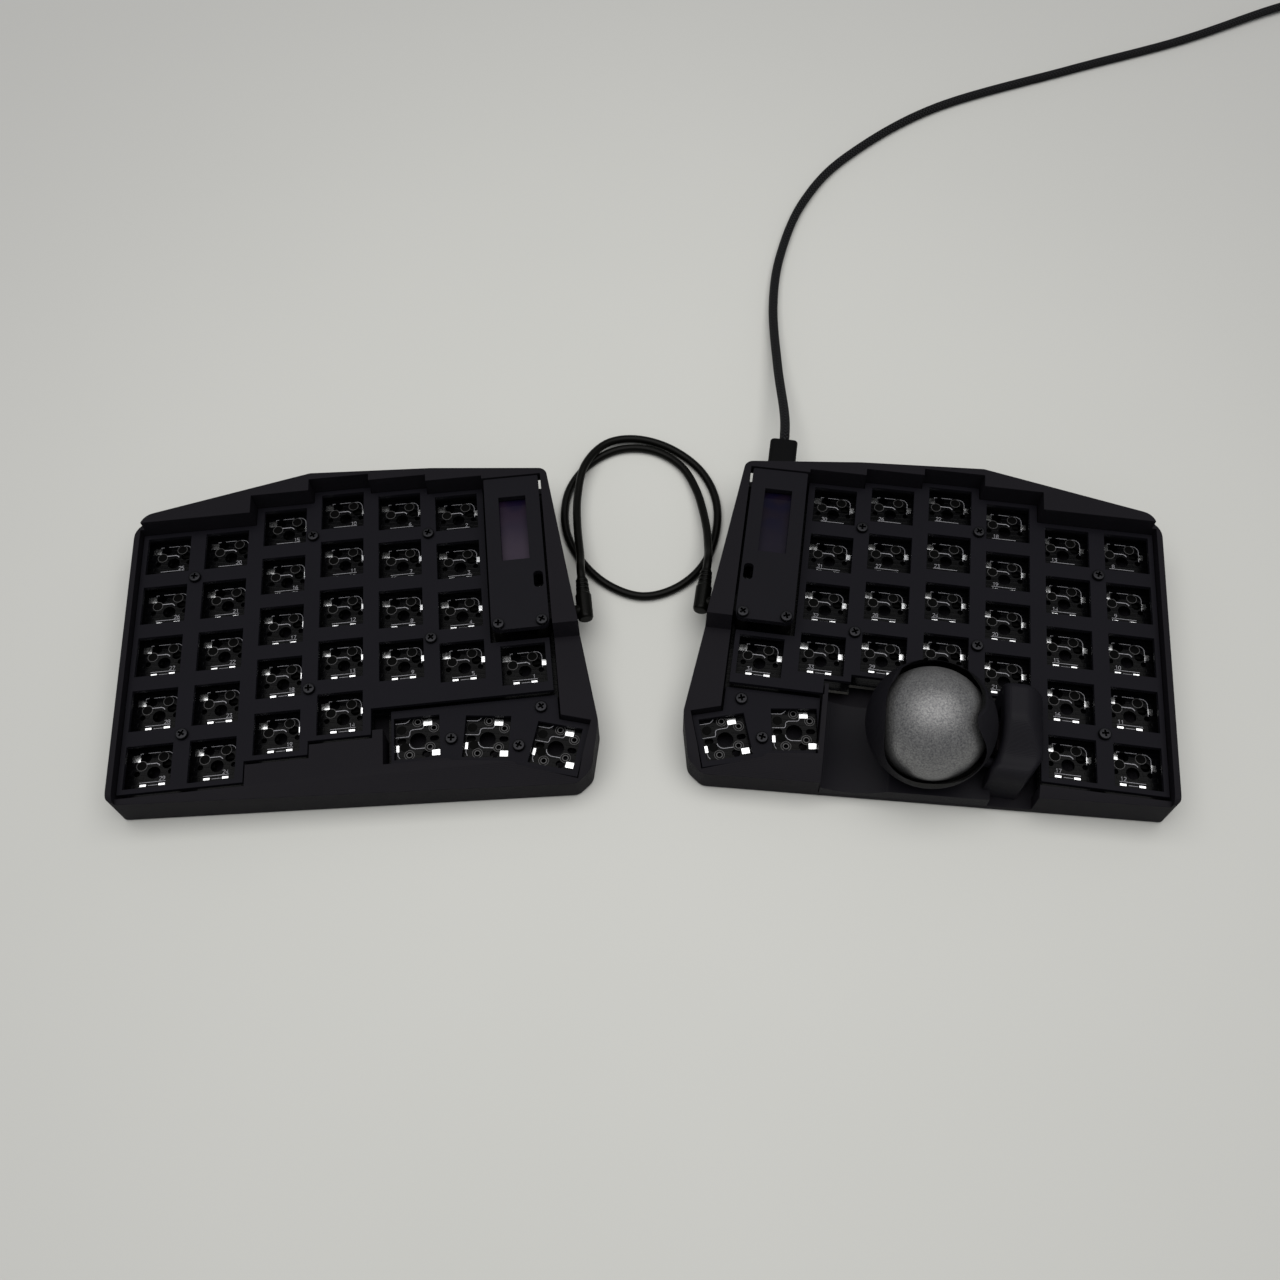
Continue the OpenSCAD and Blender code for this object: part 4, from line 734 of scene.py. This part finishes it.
def cord_tube(line, radius, sides):
    """A round tube: a circle extruded from point to point, with its own map of round and along."""
    shape = bmesh.new()
    unwrap = shape.loops.layers.uv.new("cord_map")
    ahead = (line[1] - line[0]).normalized()
    side = ahead.cross(Vector((0, 0, 1))).normalized()
    ring = bmesh.ops.create_circle(shape, cap_ends=False, segments=sides, radius=radius)["verts"]
    edges = list({e for v in ring for e in v.link_edges})
    bmesh.ops.contextual_create(shape, geom=edges)
    place = {v: i for i, v in enumerate(ring)}
    along, travelled = {}, 0.0
    for i, here in enumerate(line):
        before, after = line[max(i - 1, 0)], line[min(i + 1, len(line) - 1)]
        travelled += (here - before).length
        ahead = (after - before).normalized()
        side = (side - ahead * side.dot(ahead)).normalized()
        up = side.cross(ahead)
        if i:
            grown = bmesh.ops.extrude_edge_only(shape, edges=edges)["geom"]
            new_ring = [g for g in grown if isinstance(g, bmesh.types.BMVert)]
            for v in new_ring:
                old = next(e.other_vert(v) for e in v.link_edges if e.other_vert(v) in place
                           and e.other_vert(v) not in new_ring)
                place[v] = place[old]
            edges = [g for g in grown if isinstance(g, bmesh.types.BMEdge)]
            ring = new_ring
        for v in ring:
            angle = 2 * math.pi * place[v] / sides
            v.co = here + radius * (side * math.cos(angle) + up * math.sin(angle))
            along[v] = travelled
    bmesh.ops.contextual_create(shape, geom=edges)
    for face in shape.faces:
        last = max(place[loop.vert] for loop in face.loops) == sides - 1
        for loop in face.loops:
            turn = place[loop.vert]
            loop[unwrap].uv = ((sides if last and turn == 0 else turn) / sides, along[loop.vert] / MM)
    bmesh.ops.recalc_face_normals(shape, faces=shape.faces)
    return shape


LINK_D, LINK_STRIDE, LINK_SIDES = 2.8, 2, 16
RELIEF_LENGTH, RELIEF_THIN, RELIEF_THICK, GROOVE_SHARE = 6.3, 1.6, 2.1, 0.3
link_route = [
    (-20.7047, 20.7427, 10.5), (-21.1367, 24.7193, 10.5), (-21.483, 30.971, 8.2), (-22.983, 44.971, 5.8),
    (-23.283, 57.971, 4.9), (-21.083, 71.471, 4.8), (-13.983, 81.971, 3.3), (-3.483, 85.271, 1.8),
    (8.517, 81.371, 1.5), (19.017, 71.971, 1.4), (24.417, 59.471, 1.4), (24.417, 45.471, 1.4),
    (19.717, 31.771, 1.4), (10.517, 22.571, 1.4), (-0.983, 19.271, 1.4), (-12.483, 23.871, 1.4),
    (-21.783, 33.771, 1.4), (-27.283, 46.971, 1.4), (-26.883, 61.971, 1.4), (-20.083, 73.971, 1.4),
    (-9.483, 80.771, 1.4), (2.517, 80.371, 1.5), (12.517, 73.271, 1.7), (18.017, 61.471, 2.4),
    (20.717, 45.971, 4.7), (21.117, 34.471, 7.6), (20.7991, 27.51, 10.5), (20.2217, 23.5519, 10.5)]
link_line = smooth_route(link_route, LINK_STRIDE)
cord_finish = rubber_finish("cord_rubber", linear(2, 2, 1), linear(7, 7, 5), 0.34, 0.1)
link_tube = cord_tube(link_line, LINK_D / 2 * MM, LINK_SIDES)
link_cord = piece(link_tube, "link_cord_rubber", cord_finish)
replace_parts(link_cord, "link_cord")


def deepened_ribs(shape):
    """Cuts the grooves of the strain relief deeper, round the line on which the cord leaves the plug."""
    for leave, after in ((link_line[0], link_line[1]), (link_line[-1], link_line[-2])):
        axis = (after - leave).normalized()
        for v in shape.verts:
            back = (leave - v.co).dot(axis)
            out = v.co - leave + axis * back
            nominal = RELIEF_THIN + (RELIEF_THICK - RELIEF_THIN) * back / MM / RELIEF_LENGTH
            if 0.2 < back / MM < RELIEF_LENGTH - 0.1 and 0.8 < out.length / MM < nominal:
                v.co -= out * GROOVE_SHARE


for plug in ("left_link_plug", "right_link_plug"):
    eased(plug, 0.1, cord_finish, prepare=deepened_ribs)
length_of(link_line)


# USB cord: black braid over a round core, from the plug in the right half away over the desk.
# The rest of its length lies in a tied coil with its far plug.
USB_D, USB_STRIDE, USB_SIDES = 3.4, 1.6, 14
usb_route = [
    (48.0836, 73.6546, 12.6), (48.6611, 77.6127, 12.6), (49.317, 88.971, 11), (48.717, 115.971, 6),
    (49.117, 148.971, 2.5), (53.517, 176.971, 1.8), (64.517, 206.971, 1.75), (84.517, 233.971, 1.7),
    (124.517, 263.971, 1.7), (185.517, 287.971, 1.7), (237.517, 306.971, 1.8), (283.517, 327.971, 2.3),
    (311, 337, 2.75)]
COIL_TURNS, COIL_STEPS, COIL_PITCH, COIL_LOW, COIL_RISE, COIL_OUT = 2, 24, 4.4, 2.9, 4.4, 24.4
COIL_LEAD = 12
coil_middle = Vector((345.517, 362.971, 0))
coil_half = COIL_TURNS * COIL_STEPS


def coil_point(i):
    """A point of the put-away coil: spiralling in on the desk, climbing, and out again on top."""
    climb = min(1, max(0, (i - coil_half) / (COIL_STEPS / 2)))
    out = max(0, i - coil_half - COIL_STEPS / 2) / COIL_STEPS
    radius = COIL_OUT - (min(i, coil_half) / COIL_STEPS - out) * COIL_PITCH
    angle = math.radians(-90 + 360 * i / COIL_STEPS)
    height = COIL_LOW + COIL_RISE * climb
    return coil_middle + Vector((radius * math.cos(angle), radius * math.sin(angle), height))


coil_route = [coil_middle + Vector((-COIL_LEAD, -COIL_OUT, COIL_LOW))] + [
    coil_point(i) for i in range(1, 2 * coil_half + COIL_STEPS // 2 + 1)]
coil_last = coil_route[-1]
FAR_PLUG_HEIGHT = 3.6
coil_route += [coil_last + Vector((-8, 0, 0)), coil_last + Vector((-16, 0.5, -1.4)),
               Vector((coil_last.x - 26, coil_last.y + 1, FAR_PLUG_HEIGHT)),
               Vector((coil_last.x - 31.1, coil_last.y + 1, FAR_PLUG_HEIGHT))]
usb_line = smooth_route(usb_route + coil_route, USB_STRIDE)

BRAID_STRANDS, BRAID_PITCH = 6.0, 1.5
braid_paint = Paint("black_braid", 0.6, 0.05)
braid_map = braid_paint.node("ShaderNodeUVMap", {"uv_map": "cord_map"})
braid_round = part_of(braid_paint, braid_map, 0) * BRAID_STRANDS
braid_along = part_of(braid_paint, braid_map, 1) / BRAID_PITCH
strand_a, strand_b = braid_round + braid_along, braid_round - braid_along
over = (strand_a.maths("FLOOR") + strand_b.maths("FLOOR")).maths("PINGPONG", 1.0)
swell_a = (strand_a.maths("FRACT") * math.pi).maths("SINE")
swell_b = (strand_b.maths("FRACT") * math.pi).maths("SINE")
weave = swell_a * over + swell_b * (1 - over)
thread = braid_paint.noise(braid_paint.place(), 4.0, 2)
# Painted sheen: the crests of the strands are painted light over the black braid.
braid_painted_sheen = weave.above(0.8, 0.18) * 0.9 + thread * 0.1
braid_finish = braid_paint.into(
    Base_Color=braid_paint.mix(braid_painted_sheen, linear(1, 1, 2), linear(44, 44, 46)),
    Roughness=thread * 0.2 + 0.5, Normal=braid_paint.bump(weave + thread * 0.2, 0.16))
usb_tube = cord_tube(usb_line, USB_D / 2 * MM, USB_SIDES)
usb_cord = piece(usb_tube, "usb_cord_braid", braid_finish)
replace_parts(usb_cord, "usb_cord", "usb_coil")
plug_finish = rubber_finish("plug_elastomer", linear(5, 5, 6), linear(10, 10, 11), 0.55, 0.06)
for plug in ("usb_plug", "usb_far_plug"):
    eased(plug, 0.2, plug_finish)
dress(cord_finish, "cord_rubber", "usb_tie")
length_of(usb_line)
